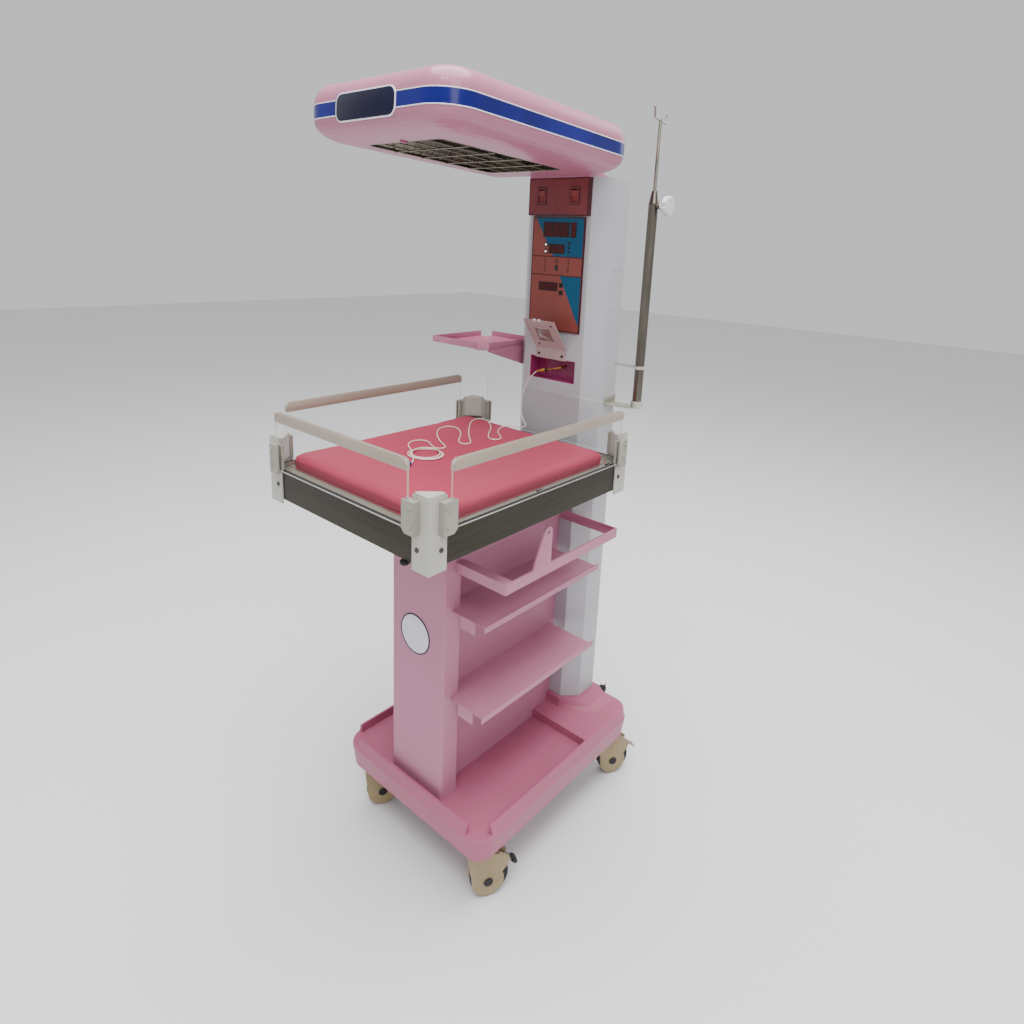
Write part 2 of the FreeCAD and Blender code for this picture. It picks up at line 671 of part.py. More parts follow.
def controller_plate():
    front = COLUMN_FRONT_Y - PLATE_PROUD
    plate = box(-PLATE_HALF_X, PLATE_HALF_X, front, COLUMN_FRONT_Y, *PLATE_Z)
    for x0, x1, z0, z1 in WINDOWS:
        plate = plate.cut(box(x0, x1, front - 1, front + WINDOW_DEPTH, z0, z1))
    half = KEY_SIZE / 2 + RUN_GAP
    for z in KEY_Z:
        plate = plate.cut(box(KEY_X - half, KEY_X + half, front - 1, COLUMN_FRONT_Y + 1,
                              z - half, z + half))
    return plate


def display_windows():
    front = COLUMN_FRONT_Y - PLATE_PROUD
    return group([box(x0, x1, front - WINDOW_PROUD, front + WINDOW_DEPTH, z0, z1)
                  for x0, x1, z0, z1 in WINDOWS])


def key(z):
    half = KEY_SIZE / 2
    front = COLUMN_FRONT_Y - PLATE_PROUD
    cap = box(KEY_X - half, KEY_X + half, front - KEY_PROUD, front + KEY_DEPTH - 1,
              z - half, z + half)
    face = [e for e in cap.Edges if all(abs(v.Y - (front - KEY_PROUD)) < 0.01
                                        for v in e.Vertexes)]
    return cap.makeFillet(1.0, face)


def chart_plate():
    """Bent sheet: a screwed foot and a card plate tilted out, with a square window."""
    y = COLUMN_FRONT_Y
    t = CHART_SHEET
    slope = math.atan2(CHART_TOP_Z - CHART_BEND_Z, y - t - CHART_TOP_Y)
    nx = t * math.sin(slope)
    nz = t * math.cos(slope)
    top = (CHART_TOP_Y, CHART_TOP_Z)
    profile = [(y, CHART_FOOT_Z), (y, CHART_BEND_Z + nz * 0.6), (top[0] + nx, top[1] + nz),
               top, (y - t, CHART_BEND_Z), (y - t, CHART_FOOT_Z)]
    plate = along_x(profile, *CHART_X)
    x_mid = sum(CHART_X) / 2
    recess = CHART_SHEET / 2
    cut = box(x_mid - CHART_WINDOW[0] / 2, x_mid + CHART_WINDOW[0] / 2, -recess,
              recess, -CHART_WINDOW[1] / 2, CHART_WINDOW[1] / 2)
    cut.rotate(V(x_mid, 0, 0), V(1, 0, 0), 90 - math.degrees(slope))
    cut.translate(V(0, (y - t + CHART_TOP_Y) / 2, (CHART_BEND_Z + CHART_TOP_Z) / 2))
    plate = plate.cut(cut)
    for side in (-1, 1):
        x = x_mid + side * CHART_SCREW_SPAN / 2
        plate = plate.cut(rod((x, y - t - 1, CHART_SCREW_Z), (x, y + 1, CHART_SCREW_Z), 2.5))
    return plate


def probe_pocket():
    """Recessed tray in the column's face for the probe plug."""
    t = POCKET_SHEET
    z0, z1 = POCKET_Z
    y0 = COLUMN_FRONT_Y
    outer = box(-POCKET_HALF_X, POCKET_HALF_X, y0, y0 + POCKET_DEPTH, z0, z1)
    inner = box(-POCKET_HALF_X + t, POCKET_HALF_X - t, y0 - 1, y0 + POCKET_DEPTH - t,
                z0 + t, z1 - t)
    return outer.cut(inner)


def side_tray():
    """Sheet tray with upturned lips, cut back at the corners."""
    t = SHEET
    x0, x1 = TRAY_X
    y0, y1 = TRAY_Y
    floor = along_z([(x0, y0), (x1 + 4, y0), (x1 + 4, y1), (x0 + TRAY_NOTCH, y1),
                     (x0 + TRAY_NOTCH, y1 - TRAY_NOTCH), (x0, y1 - TRAY_NOTCH)],
                    TRAY_Z, TRAY_Z + t)
    top = TRAY_Z + TRAY_LIP
    lips = [
        box(x0, x0 + t, y0, y1 - TRAY_NOTCH, TRAY_Z, top),
        box(x0, x1 - TRAY_NOTCH, y0, y0 + t, TRAY_Z, top),
        box(x0 + TRAY_NOTCH, x1, y1 - t, y1, TRAY_Z, top),
        box(x1 - t, x1, y0 + TRAY_NOTCH, y1 - TRAY_NOTCH, TRAY_Z, top),
    ]
    tongue = along_z([(x1 - TRAY_NOTCH, y0 + 1), (x1 - TRAY_NOTCH, y0 - 10),
                      (x1 - 4, y0 - 10), (x1 + 4, y0 + 1)], TRAY_Z, TRAY_Z + t)
    return fuse([floor] + lips + [tongue])


def tray_gusset():
    x1 = -COLUMN_HALF_X
    top = TRAY_Z
    y0 = TRAY_Y[0] + 18
    return along_x([(y0, top), (y0, top - 6), (COLUMN_FRONT_Y + COLUMN_CHAMFER,
                                              top - GUSSET_DROP),
                    (COLUMN_REAR_Y - 12, top - GUSSET_DROP), (COLUMN_REAR_Y - 12, top)],
                   x1 - GUSSET_THICK, x1)


def iv_tube():
    """Pole tube, coned in at its top to guide the sliding rod."""
    bore = ROD_R + PIN_GAP
    inner = POLE_R - POLE_WALL
    points = [
        (inner, POLE_BOTTOM_Z), (POLE_R, POLE_BOTTOM_Z), (POLE_R, POLE_TOP_Z),
        (bore + 2.5, POLE_CONE_Z), (bore, POLE_CONE_Z), (bore, POLE_TOP_Z - 8),
        (inner, POLE_TOP_Z - 16),
    ]
    corners = [V(r, 0, z) for r, z in points]
    tube = Part.Face(Part.makePolygon(corners + corners[:1])).revolve(V(0, 0, 0), UP, 360)
    tube.translate(V(POLE_X, POLE_Y, 0))
    boss = rod((POLE_X + POLE_R - 1, POLE_Y, KNOB_Z), (POLE_X + POLE_R + BOSS_REACH, POLE_Y, KNOB_Z),
               BOSS_R)
    hole = rod((POLE_X + 1, POLE_Y, KNOB_Z), (POLE_X + 40, POLE_Y, KNOB_Z), SCREW_R + PIN_GAP)
    return tube.fuse(boss).cut(hole)


def iv_bracket():
    """Cup under the pole on an arm from the column, and a strap ring higher up."""
    wall = 3.0
    gap = 0.1
    cup_r = POLE_R + gap + wall
    z0 = POLE_BOTTOM_Z - wall
    cup = Part.makeCylinder(cup_r, 20.0, V(POLE_X, POLE_Y, z0))
    socket = Part.makeCylinder(POLE_R + gap, 20.0, V(POLE_X, POLE_Y, POLE_BOTTOM_Z))
    arm = along_z([(COLUMN_HALF_X, COLUMN_REAR_Y - 56), (COLUMN_HALF_X, COLUMN_REAR_Y),
                   (POLE_X, POLE_Y + cup_r * 0.9), (POLE_X, POLE_Y - cup_r * 0.9)],
                  z0, z0 + 4)
    foot = box(COLUMN_HALF_X, COLUMN_HALF_X + wall, COLUMN_REAR_Y - 56, COLUMN_REAR_Y,
               z0, z0 + 28)
    bracket = fuse([cup, arm, foot]).cut(socket)
    ring = Part.makeCylinder(POLE_R + gap + 2, 8.0, V(POLE_X, POLE_Y, STRAP_Z - 4))
    band = box(COLUMN_HALF_X, POLE_X, POLE_Y + 1, POLE_Y + 3, STRAP_Z - 4, STRAP_Z + 4)
    hole = Part.makeCylinder(POLE_R + gap, 10.0, V(POLE_X, POLE_Y, STRAP_Z - 5))
    strap = fuse([ring, band]).cut(hole)
    return group([bracket, strap])


def iv_rod():
    """Sliding rod with a cross arm and two upturned hooks."""
    stem = rod((POLE_X, POLE_Y, ROD_BOTTOM_Z), (POLE_X, POLE_Y, ROD_TOP_Z), ROD_R)
    z = ROD_TOP_Z - 4
    arm = rod((POLE_X, POLE_Y - HOOK_ARM, z), (POLE_X, POLE_Y + HOOK_ARM, z), HOOK_WIRE_R)
    pieces = [stem, arm]
    for side in (-1, 1):
        y = POLE_Y + side * HOOK_ARM
        elbow = Part.makeSphere(HOOK_WIRE_R, V(POLE_X, y, z))
        rise = rod((POLE_X, y, z), (POLE_X, y + side * 6, z + HOOK_RISE), HOOK_WIRE_R)
        knob = Part.makeSphere(HOOK_WIRE_R * 1.3, V(POLE_X, y + side * 6, z + HOOK_RISE))
        pieces += [elbow, rise, knob]
    shape = pieces[0].fuse(pieces[1:])
    shape.rotate(V(POLE_X, POLE_Y, 0), UP, HOOK_TURN)
    return shape


def iv_knob():
    """Fluted clamp knob on its screw, which presses on the rod."""
    face = KNOB_X + KNOB_THICK / 2
    back = KNOB_X - KNOB_THICK / 2
    disc = rod((back, POLE_Y, KNOB_Z), (face, POLE_Y, KNOB_Z), KNOB_R)
    disc = disc.makeFillet(5.0, [e for e in disc.Edges if e.Curve.TypeId.endswith("Circle")])
    flutes = []
    for i in range(6):
        t = math.radians(60 * i)
        y = POLE_Y + (KNOB_R + 5) * math.cos(t)
        z = KNOB_Z + (KNOB_R + 5) * math.sin(t)
        flutes.append(rod((back - 1, y, z), (face + 1, y, z), 8.0))
    disc = disc.cut(flutes[0].fuse(flutes[1:]))
    hub = rod((POLE_X + POLE_R + BOSS_REACH + RUN_GAP, POLE_Y, KNOB_Z),
              (back + 1, POLE_Y, KNOB_Z), 8.0)
    screw = rod((POLE_X + ROD_R + RUN_GAP, POLE_Y, KNOB_Z), (back + 1, POLE_Y, KNOB_Z), SCREW_R)
    return disc.fuse([hub, screw])


def tip(shape):
    """Tips a level hood piece nose-up about the column's front edge, and sets it sideways."""
    shape.rotate(V(0, COLUMN_FRONT_Y, COLUMN_TOP_Z), V(1, 0, 0), -HOOD_TILT)
    shape.translate(V(HOOD_MID_X, 0, 0))
    return shape


def hood_wire(inset, z):
    return rounded_outline(HOOD_HALF_X - inset, HOOD_FRONT_Y + inset, HOOD_REAR_Y - inset,
                           HOOD_STRIPE_Z + z, max(HOOD_FRONT_R - inset, 14.0),
                           max(HOOD_REAR_R - inset, 12.0))


def hood_upper_solid(inset):
    z0 = HOOD_STRIPE / 2
    block = Part.Face(hood_wire(inset, z0)).extrude(V(0, 0, HOOD_RISE - inset - z0))
    top = HOOD_STRIPE_Z + HOOD_RISE - inset
    return block.makeFillet(HOOD_CROWN_R - inset, edges_at_z(block, top))


def hood_lower_solid(inset):
    wires = []
    depth = HOOD_DROP - HOOD_STRIPE / 2
    for step in range(HOOD_BELLY_STEPS + 1):
        angle = math.radians(90.0 * step / HOOD_BELLY_STEPS)
        z = -HOOD_STRIPE / 2 - (depth - inset) * math.sin(angle)
        wires.append(hood_wire(inset + (HOOD_UNDERCUT - inset) * (1 - math.cos(angle)), z))
    return Part.makeLoft(wires, True, True)


def neck_solid(grow=0.0):
    """Steel neck from the column's top into the hood."""
    top = HOOD_STRIPE_Z + HOOD_STRIPE
    front = COLUMN_FRONT_Y - SWITCH_BOX_PROUD
    return along_x([
        (front - grow, SWITCH_BOX_Z[1]), (COLUMN_FRONT_Y, SWITCH_BOX_Z[1]),
        (COLUMN_FRONT_Y, COLUMN_TOP_Z), (NECK_REAR_Y + grow, COLUMN_TOP_Z),
        (NECK_REAR_Y + grow, COLUMN_TOP_Z + 5 + grow),
        (COLUMN_FRONT_Y + 6 + grow, COLUMN_TOP_Z + 24 + grow),
        (COLUMN_FRONT_Y + grow, top + grow), (front - grow, top + grow),
    ], -NECK_HALF_X - grow, NECK_HALF_X + grow)


def hood_pieces():
    neck = neck_solid()
    passage = neck_solid(NECK_GAP)
    upper = hood_upper_solid(0.0).cut(hood_upper_solid(HOOD_SHELL))
    lower = hood_lower_solid(0.0)
    lower_inner = hood_lower_solid(HOOD_SHELL)
    mouth = rounded_block(MOUTH_HALF_X, MOUTH_Y[0], MOUTH_Y[1], HOOD_STRIPE_Z - HOOD_DROP - 1,
                          HOOD_STRIPE_Z - HOOD_DROP + HOOD_SHELL + 1, MOUTH_R)
    lower = lower.cut(lower_inner).cut(mouth)
    band = Part.Face(hood_wire(-STRIPE_PROUD, -HOOD_STRIPE / 2)).extrude(V(0, 0, HOOD_STRIPE))
    band_in = Part.Face(hood_wire(HOOD_SHELL, -HOOD_STRIPE / 2 - 1))
    band = band.cut(band_in.extrude(V(0, 0, HOOD_STRIPE + 2)))
    parts["hood_upper"] = tip(upper).cut(passage)
    parts["hood_lower"] = tip(lower).cut(passage)
    parts["hood_stripe"] = tip(band).cut(passage)
    parts["hood_neck"] = neck
    parts["hood_reflector"] = tip(hood_reflector())
    parts["heater_rods"] = tip(heater_rods())
    parts["hood_guard"] = tip(hood_guard())


def hood_floor_z():
    return HOOD_STRIPE_Z - HOOD_DROP


def hood_reflector():
    """Folded bright sheet over the heaters, seated on the hood's lower lip."""
    t = REFLECTOR_SHEET
    seat = hood_floor_z() + HOOD_SHELL
    foot = MOUTH_HALF_X + 6
    top = HOOD_STRIPE_Z - 4
    low = seat + t
    outer = [(-foot, seat), (-foot, low), (-MOUTH_HALF_X - t, low), (-REFLECTOR_TOP_HALF, top),
             (REFLECTOR_TOP_HALF, top), (MOUTH_HALF_X + t, low), (foot, low), (foot, seat),
             (MOUTH_HALF_X, seat), (REFLECTOR_TOP_HALF - t, top - t),
             (-REFLECTOR_TOP_HALF + t, top - t), (-MOUTH_HALF_X, seat)]
    y0 = MOUTH_Y[0] + 2
    y1 = MOUTH_Y[1] - 2
    trough = along_y(outer, y0, y1)
    end = along_y([(-MOUTH_HALF_X, seat), (-REFLECTOR_TOP_HALF + t, top - t),
                   (REFLECTOR_TOP_HALF - t, top - t), (MOUTH_HALF_X, seat)], y0, y0 + t)
    other = end.copy()
    other.translate(V(0, y1 - y0 - t, 0))
    return fuse([trough, end, other])


def heater_rods():
    """Two sheathed heater rods between ceramic end holders hung from the reflector."""
    z = hood_floor_z() + 26
    top = HOOD_STRIPE_Z - 4 - REFLECTOR_SHEET
    x = HEATER_SPAN / 2
    pieces = []
    for y in HEATER_Y:
        pieces.append(box(-x - 12, x + 12, y - 4, y + 4, z - 9, top))
    for side in (-1, 1):
        pieces.append(rod((side * x, HEATER_Y[0] - 10, z), (side * x, HEATER_Y[1] + 10, z),
                          HEATER_R))
    return fuse(pieces)


def hood_guard():
    """Wire guard: rim, long bars and cross ties, welded."""
    r = GUARD_WIRE_R
    half = MOUTH_HALF_X - RUN_GAP - r
    y0 = MOUTH_Y[0] + RUN_GAP + r
    y1 = MOUTH_Y[1] - RUN_GAP - r
    z = hood_floor_z() + HOOD_SHELL - r
    path = rounded_outline(half, y0, y1, z, MOUTH_R - RUN_GAP - r, MOUTH_R - RUN_GAP - r)
    start = path.Edges[0].Vertexes[0].Point
    ring = Part.Wire(Part.makeCircle(r, start, path.Edges[0].tangentAt(
        path.Edges[0].FirstParameter)))
    rim = path.makePipeShell([ring], True, False)
    pieces = [rim]
    for i in range(GUARD_BARS):
        x = half * (2.0 * (i + 1) / (GUARD_BARS + 1) - 1.0)
        pieces.append(rod((x, y0, z), (x, y1, z), r * GUARD_BAR_SHARE))
    for i in range(GUARD_TIES):
        y = y0 + (y1 - y0) * (i + 1) / (GUARD_TIES + 1)
        pieces.append(rod((-half, y, z - r), (half, y, z - r), r * GUARD_BAR_SHARE))
    return pieces[0].fuse(pieces[1:])


def bed_mid_y():
    return (BED_FRONT_Y + BED_REAR_Y) / 2


def bed_half_y():
    return (BED_REAR_Y - BED_FRONT_Y) / 2


def end_panel_half():
    return BED_HALF_X - END_PANEL_INSET


def side_panel_half():
    return bed_half_y() - SIDE_PANEL_INSET


def four_corners(shape):
    """Copies of a piece drawn at the corner with positive X and Y from the bed's middle."""
    copies = []
    for flip_x in (False, True):
        for flip_y in (False, True):
            piece = shape.copy()
            if flip_x:
                piece = mirrored(piece)
            if flip_y:
                piece = mirrored(piece, V(0, 0, 0), V(0, 1, 0))
            piece.translate(V(0, bed_mid_y(), 0))
            copies.append(piece)
    return copies


def corner_posts():
    x = BED_HALF_X
    y = bed_half_y()
    f = POST_FLANGE
    t = POST_SHEET
    angle = along_z([(x, y), (x - f, y), (x - f, y - t), (x - t, y - t), (x - t, y - f),
                     (x, y - f)], POST_BOTTOM_Z, POST_TOP_Z)
    i = t + 0.2
    block = along_z([(x - i, y - i), (x - f + 4, y - i), (x - f + 4, y - i - 8),
                     (x - i - 8, y - f + 4), (x - i, y - f + 4)], BLOCK_BOTTOM_Z, BLOCK_TOP_Z)
    cap = along_z([(x - 1, y - 1), (x - f + 4, y - 1), (x - i - 8, y - f + 4),
                   (x - 1, y - f + 4)], POST_TOP_Z, BLOCK_TOP_Z)
    return group(four_corners(fuse([angle, block, cap])))


def holder(along_side):
    """Slotted panel holder on the outside of a post, for the side or the end panel."""
    post_edge = (bed_half_y() if along_side else BED_HALF_X) - POST_FLANGE
    panel_end = side_panel_half() if along_side else end_panel_half()
    face = BED_HALF_X if along_side else bed_half_y()
    start = post_edge - HOLDER_GRIP
    stop = start + HOLDER_WIDTH
    mid_out = face + PANEL_OUT
    half_slot = PANEL_SHEET / 2 + SLIP_GAP
    outline = [(start, HOLDER_TOP_Z), (start, HOLDER_BOTTOM_Z + HOLDER_TAPER),
               (start + HOLDER_TAPER, HOLDER_BOTTOM_Z), (stop, HOLDER_BOTTOM_Z),
               (stop, HOLDER_TOP_Z)]
    if along_side:
        body = along_x(outline, face, face + HOLDER_OUT)
        slot = box(mid_out - half_slot, mid_out + half_slot, start - 1, panel_end + RUN_GAP,
                   PANEL_BOTTOM_Z - RUN_GAP, HOLDER_TOP_Z + 1)
        stud = rod((face + HOLDER_OUT - 1, stop - 9, HOLDER_TOP_Z - 12),
                   (face + HOLDER_OUT + 2.5, stop - 9, HOLDER_TOP_Z - 12), 4.5)
    else:
        body = along_y(outline, face, face + HOLDER_OUT)
        slot = box(start - 1, panel_end + RUN_GAP, mid_out - half_slot, mid_out + half_slot,
                   PANEL_BOTTOM_Z - RUN_GAP, HOLDER_TOP_Z + 1)
        stud = rod((stop - 9, face + HOLDER_OUT - 1, HOLDER_TOP_Z - 12),
                   (stop - 9, face + HOLDER_OUT + 2.5, HOLDER_TOP_Z - 12), 4.5)
    low = stud.copy()
    low.translate(V(0, 0, -36))
    return fuse([body.cut(slot), stud, low])


def panel_holders():
    return group(four_corners(holder(True)) + four_corners(holder(False)))


def clear_panel(half, top):
    """Clear sheet with rounded top corners, drawn in the XZ plane about y = 0."""
    z0 = PANEL_BOTTOM_Z
    r = RAIL_END_R
    arc_mid = r * (1 - math.sqrt(0.5))
    corners = [
        Part.LineSegment(V(-half, 0, z0), V(half, 0, z0)),
        Part.LineSegment(V(half, 0, z0), V(half, 0, top - r)),
        Part.Arc(V(half, 0, top - r), V(half - arc_mid, 0, top - arc_mid), V(half - r, 0, top)),
        Part.LineSegment(V(half - r, 0, top), V(r - half, 0, top)),
        Part.Arc(V(r - half, 0, top), V(arc_mid - half, 0, top - arc_mid), V(-half, 0, top - r)),
        Part.LineSegment(V(-half, 0, top - r), V(-half, 0, z0)),
    ]
    face = Part.Face(Part.Wire([c.toShape() for c in corners]))
    face.translate(V(0, -PANEL_SHEET / 2, 0))
    return face.extrude(V(0, PANEL_SHEET, 0))


def railed_panel(half):
    """Clear sheet and the opaque rail that caps its top edge, as two solids."""
    sheet = clear_panel(half, PANEL_TOP_Z - 2)
    z0 = PANEL_TOP_Z - RAIL_HEIGHT
    t = RAIL_THICK / 2
    r = RAIL_END_R
    rail = box(-half, half, -t, t, z0, PANEL_TOP_Z)
    ends = [e for e in rail.Edges if abs(e.tangentAt(e.FirstParameter).y) > 0.9
            and e.Vertexes[0].Z > z0 + 1]
    rail = rail.makeFillet(r, ends)
    return group([sheet, rail.cut(sheet)])


def bed_panels():
    out_x = BED_HALF_X + PANEL_OUT
    right = railed_panel(side_panel_half())
    right.rotate(V(0, 0, 0), UP, 90)
    left = right.copy()
    right.translate(V(out_x, bed_mid_y(), 0))
    left.translate(V(-out_x, bed_mid_y(), 0))
    front = railed_panel(end_panel_half())
    front.translate(V(0, BED_FRONT_Y - PANEL_OUT, 0))
    rear = clear_panel(end_panel_half(), REAR_PANEL_TOP_Z)
    rear.translate(V(0, BED_REAR_Y + PANEL_OUT, 0))
    parts["right_panel"] = right
    parts["left_panel"] = left
    parts["front_panel"] = front
    parts["rear_panel"] = rear


def bed_apron():
    """Folded stainless skirt with a bottom return and a ledge for the tray."""
    x = BED_HALF_X - POST_SHEET
    y0 = BED_FRONT_Y + POST_SHEET
    y1 = BED_REAR_Y - POST_SHEET
    t = APRON_SHEET
    ring = box(-x, x, y0, y1, APRON_BOTTOM_Z, APRON_TOP_Z)
    ring = ring.cut(box(-x + t, x - t, y0 + t, y1 - t, APRON_BOTTOM_Z - 1, APRON_TOP_Z + 1))
    w = LEDGE_WIDTH
    pieces = [ring]
    for z in (APRON_BOTTOM_Z, bed_support_z() - t):
        shelf_ring = box(-x + t, x - t, y0 + t, y1 - t, z, z + t)
        pieces.append(shelf_ring.cut(box(-x + t + w, x - t - w, y0 + t + w, y1 - t - w,
                                         z - 1, z + t + 1)))
    return fuse(pieces)


def bed_tray():
    """Shallow pan that carries the mattress, with upturned edges."""
    gap = APRON_SHEET + 0.4
    x = BED_HALF_X - POST_SHEET - gap
    y0 = BED_FRONT_Y + POST_SHEET + gap
    y1 = BED_REAR_Y - POST_SHEET - gap
    t = TRAY_SHEET
    pan = box(-x, x, y0, y1, bed_support_z(), APRON_TOP_Z - 1)
    return pan.cut(box(-x + t, x - t, y0 + t, y1 - t, TRAY_FLOOR_Z, APRON_TOP_Z))


def mattress():
    x0 = MATTRESS_SIDE_GAPS[0] - BED_HALF_X
    x1 = BED_HALF_X - MATTRESS_SIDE_GAPS[1]
    y0 = BED_FRONT_Y + MATTRESS_END_GAPS[0]
    y1 = BED_REAR_Y - MATTRESS_END_GAPS[1]
    pad = rounded_block((x1 - x0) / 2, y0, y1, TRAY_FLOOR_Z + RUN_GAP,
                        MATTRESS_TOP_Z, MATTRESS_CORNER_R)
    pad.translate(V((x0 + x1) / 2, 0, 0))
    return pad.makeFillet(8.0, edges_at_z(pad, MATTRESS_TOP_Z))


def pan_head(at, axis, radius=5.0, height=2.6):
    a = V(*at)
    d = V(*axis)
    head = Part.makeCylinder(radius, height, a, d)
    far = a + d * height
    rim = [e for e in head.Edges if e.Curve.TypeId.endswith("Circle")
           and (e.Curve.Center - far).Length < 0.01]
    return head.makeFillet(1.4, rim)


def screws():
    """Heads of the screws in the posts and in the chart plate's foot."""
    heads = []
    y = bed_half_y()
    inset = POST_SCREW_INSET
    heads += four_corners(pan_head((BED_HALF_X, y - inset, POST_SCREW_Z), (1, 0, 0)))
    heads += four_corners(pan_head((BED_HALF_X - inset, y, POST_SCREW_Z), (0, 1, 0)))
    x_mid = sum(CHART_X) / 2
    for side in (-1, 1):
        x = x_mid + side * CHART_SCREW_SPAN / 2
        heads.append(pan_head((x, COLUMN_FRONT_Y - CHART_SHEET, CHART_SCREW_Z), (0, -1, 0), 4.0))
    return group(heads)


def routed(points, radius):
    """Tube along straight runs joined by tangent arcs; prints its smallest arc radius."""
    p = [V(*q) for q in points]
    edges = []
    at = p[0]
    length = 0.0
    tightest = 1e9
    for before, corner, after in zip(p, p[1:], p[2:]):
        a = corner - before
        b = after - corner
        turn = a.getAngle(b)
        arc_r = 0.45 * min(a.Length, b.Length) / math.tan(turn / 2)
        back = arc_r * math.tan(turn / 2)
        a.normalize()
        b.normalize()
        begin = corner - a * back
        finish = corner + b * back
        bisector = b - a
        bisector.normalize()
        middle = corner + bisector * (arc_r / math.cos(turn / 2) - arc_r)
        edges.append(Part.LineSegment(at, begin).toShape())
        edges.append(Part.Arc(begin, middle, finish).toShape())
        length += (begin - at).Length + arc_r * turn
        at = finish
        tightest = min(tightest, arc_r)
    edges.append(Part.LineSegment(at, p[-1]).toShape())
    length += (p[-1] - at).Length
    path = Part.Wire(edges)
    ring = Part.Wire(Part.makeCircle(radius, p[0], p[1] - p[0]))
    tube = path.makePipeShell([ring], True, False)
    share = tube.Volume / (math.pi * radius ** 2 * length)
    print("cord radius %.1f: length %.0f, tightest arc %.1f, volume share %.3f"
          % (radius, length, tightest, share))
    return tube


def mains():
    """Gland on the rear cover, the cord down to the floor, its coil and its plug."""
    gx, gz = GLAND_AT
    y0 = COLUMN_REAR_Y + COVER_SHEET
    flange = rod((gx, y0, gz), (gx, y0 + 6, gz), 11.0)
    taper = Part.makeCone(8.0, 4.6, GLAND_LENGTH - 6, V(gx, y0 + 6, gz), V(0, 1, 0))
    parts["mains_gland"] = flange.fuse(taper).removeSplitter()
    cx, cy = MAINS_COIL_AT
    wide = MAINS_TURNS_WIDE * MAINS_R
    high = MAINS_TURNS_HIGH * 2 * MAINS_R
    coil = Part.makeCylinder(MAINS_COIL_R + wide, high, V(cx, cy, 0))
    coil = coil.cut(Part.makeCylinder(MAINS_COIL_R - wide, high, V(cx, cy, 0)))
    rims = [e for e in coil.Edges if e.Curve.TypeId.endswith("Circle")]
    coil = coil.makeFillet(3.0, rims)
    down = [(gx, y0 + GLAND_LENGTH, gz), (gx, y0 + 56, gz - 6), (gx + 2, y0 + 84, gz - 40),
            (gx + 3, y0 + 92, gz - 92), (gx + 1, y0 + 94, gz - 148), (gx + 2, y0 + 104, gz - 200),
            (gx + 5, y0 + 128, gz - 250), (gx + 9, y0 + 166, gz - 286),
            (gx + 8, y0 + 206, MAINS_R + 0.2), (cx + 42, cy + 8, MAINS_R + 0.2)]
    run_in = routed(down, MAINS_R).cut([coil, parts["mains_gland"]])
    up = []
    for turn, reach, lift in ((-104, 38.5, 0.5), (-72, 40, 3.8), (-36, 41, 5.0), (0, 41, 7.5),
                              (34, 38.5, 9.5)):
        t = math.radians(turn)
        up.append((cx + reach * math.cos(t), cy + reach * math.sin(t), high + lift))
    run_out = routed(up, MAINS_R).cut(coil)
    parts["mains_coil"] = coil
    parts["mains_cord"] = group([max(run.Solids, key=lambda s: s.Volume)
                                 for run in (run_in, run_out)])
    parts["mains_plug"] = mains_plug(up[-1], V(*up[-1]) - V(*up[-2]))


def mains_plug(at, direction):
    """Two-pin plug: rounded body, tapered tail and two round pins."""
    profile = [(0, 0), (MAINS_R + 1.2, 0), (6.0, 14), (13.0, 19), (15.0, 34), (13.5, 40), (0, 40)]
    corners = [V(r, 0, z) for r, z in profile]
    body = Part.Face(Part.makePolygon(corners + corners[:1])).revolve(V(0, 0, 0), UP, 360)
    body = body.common(box(-20, 20, -9, 9, -1, 60))
    pins = [rod((side * 9.5, 0, 39), (side * 9.5, 0, 59), 2.2) for side in (-1, 1)]
    plug = body.fuse(pins)
    turn = FreeCAD.Rotation(UP, direction)
    plug.Placement = FreeCAD.Placement(V(*at), turn)
    return plug


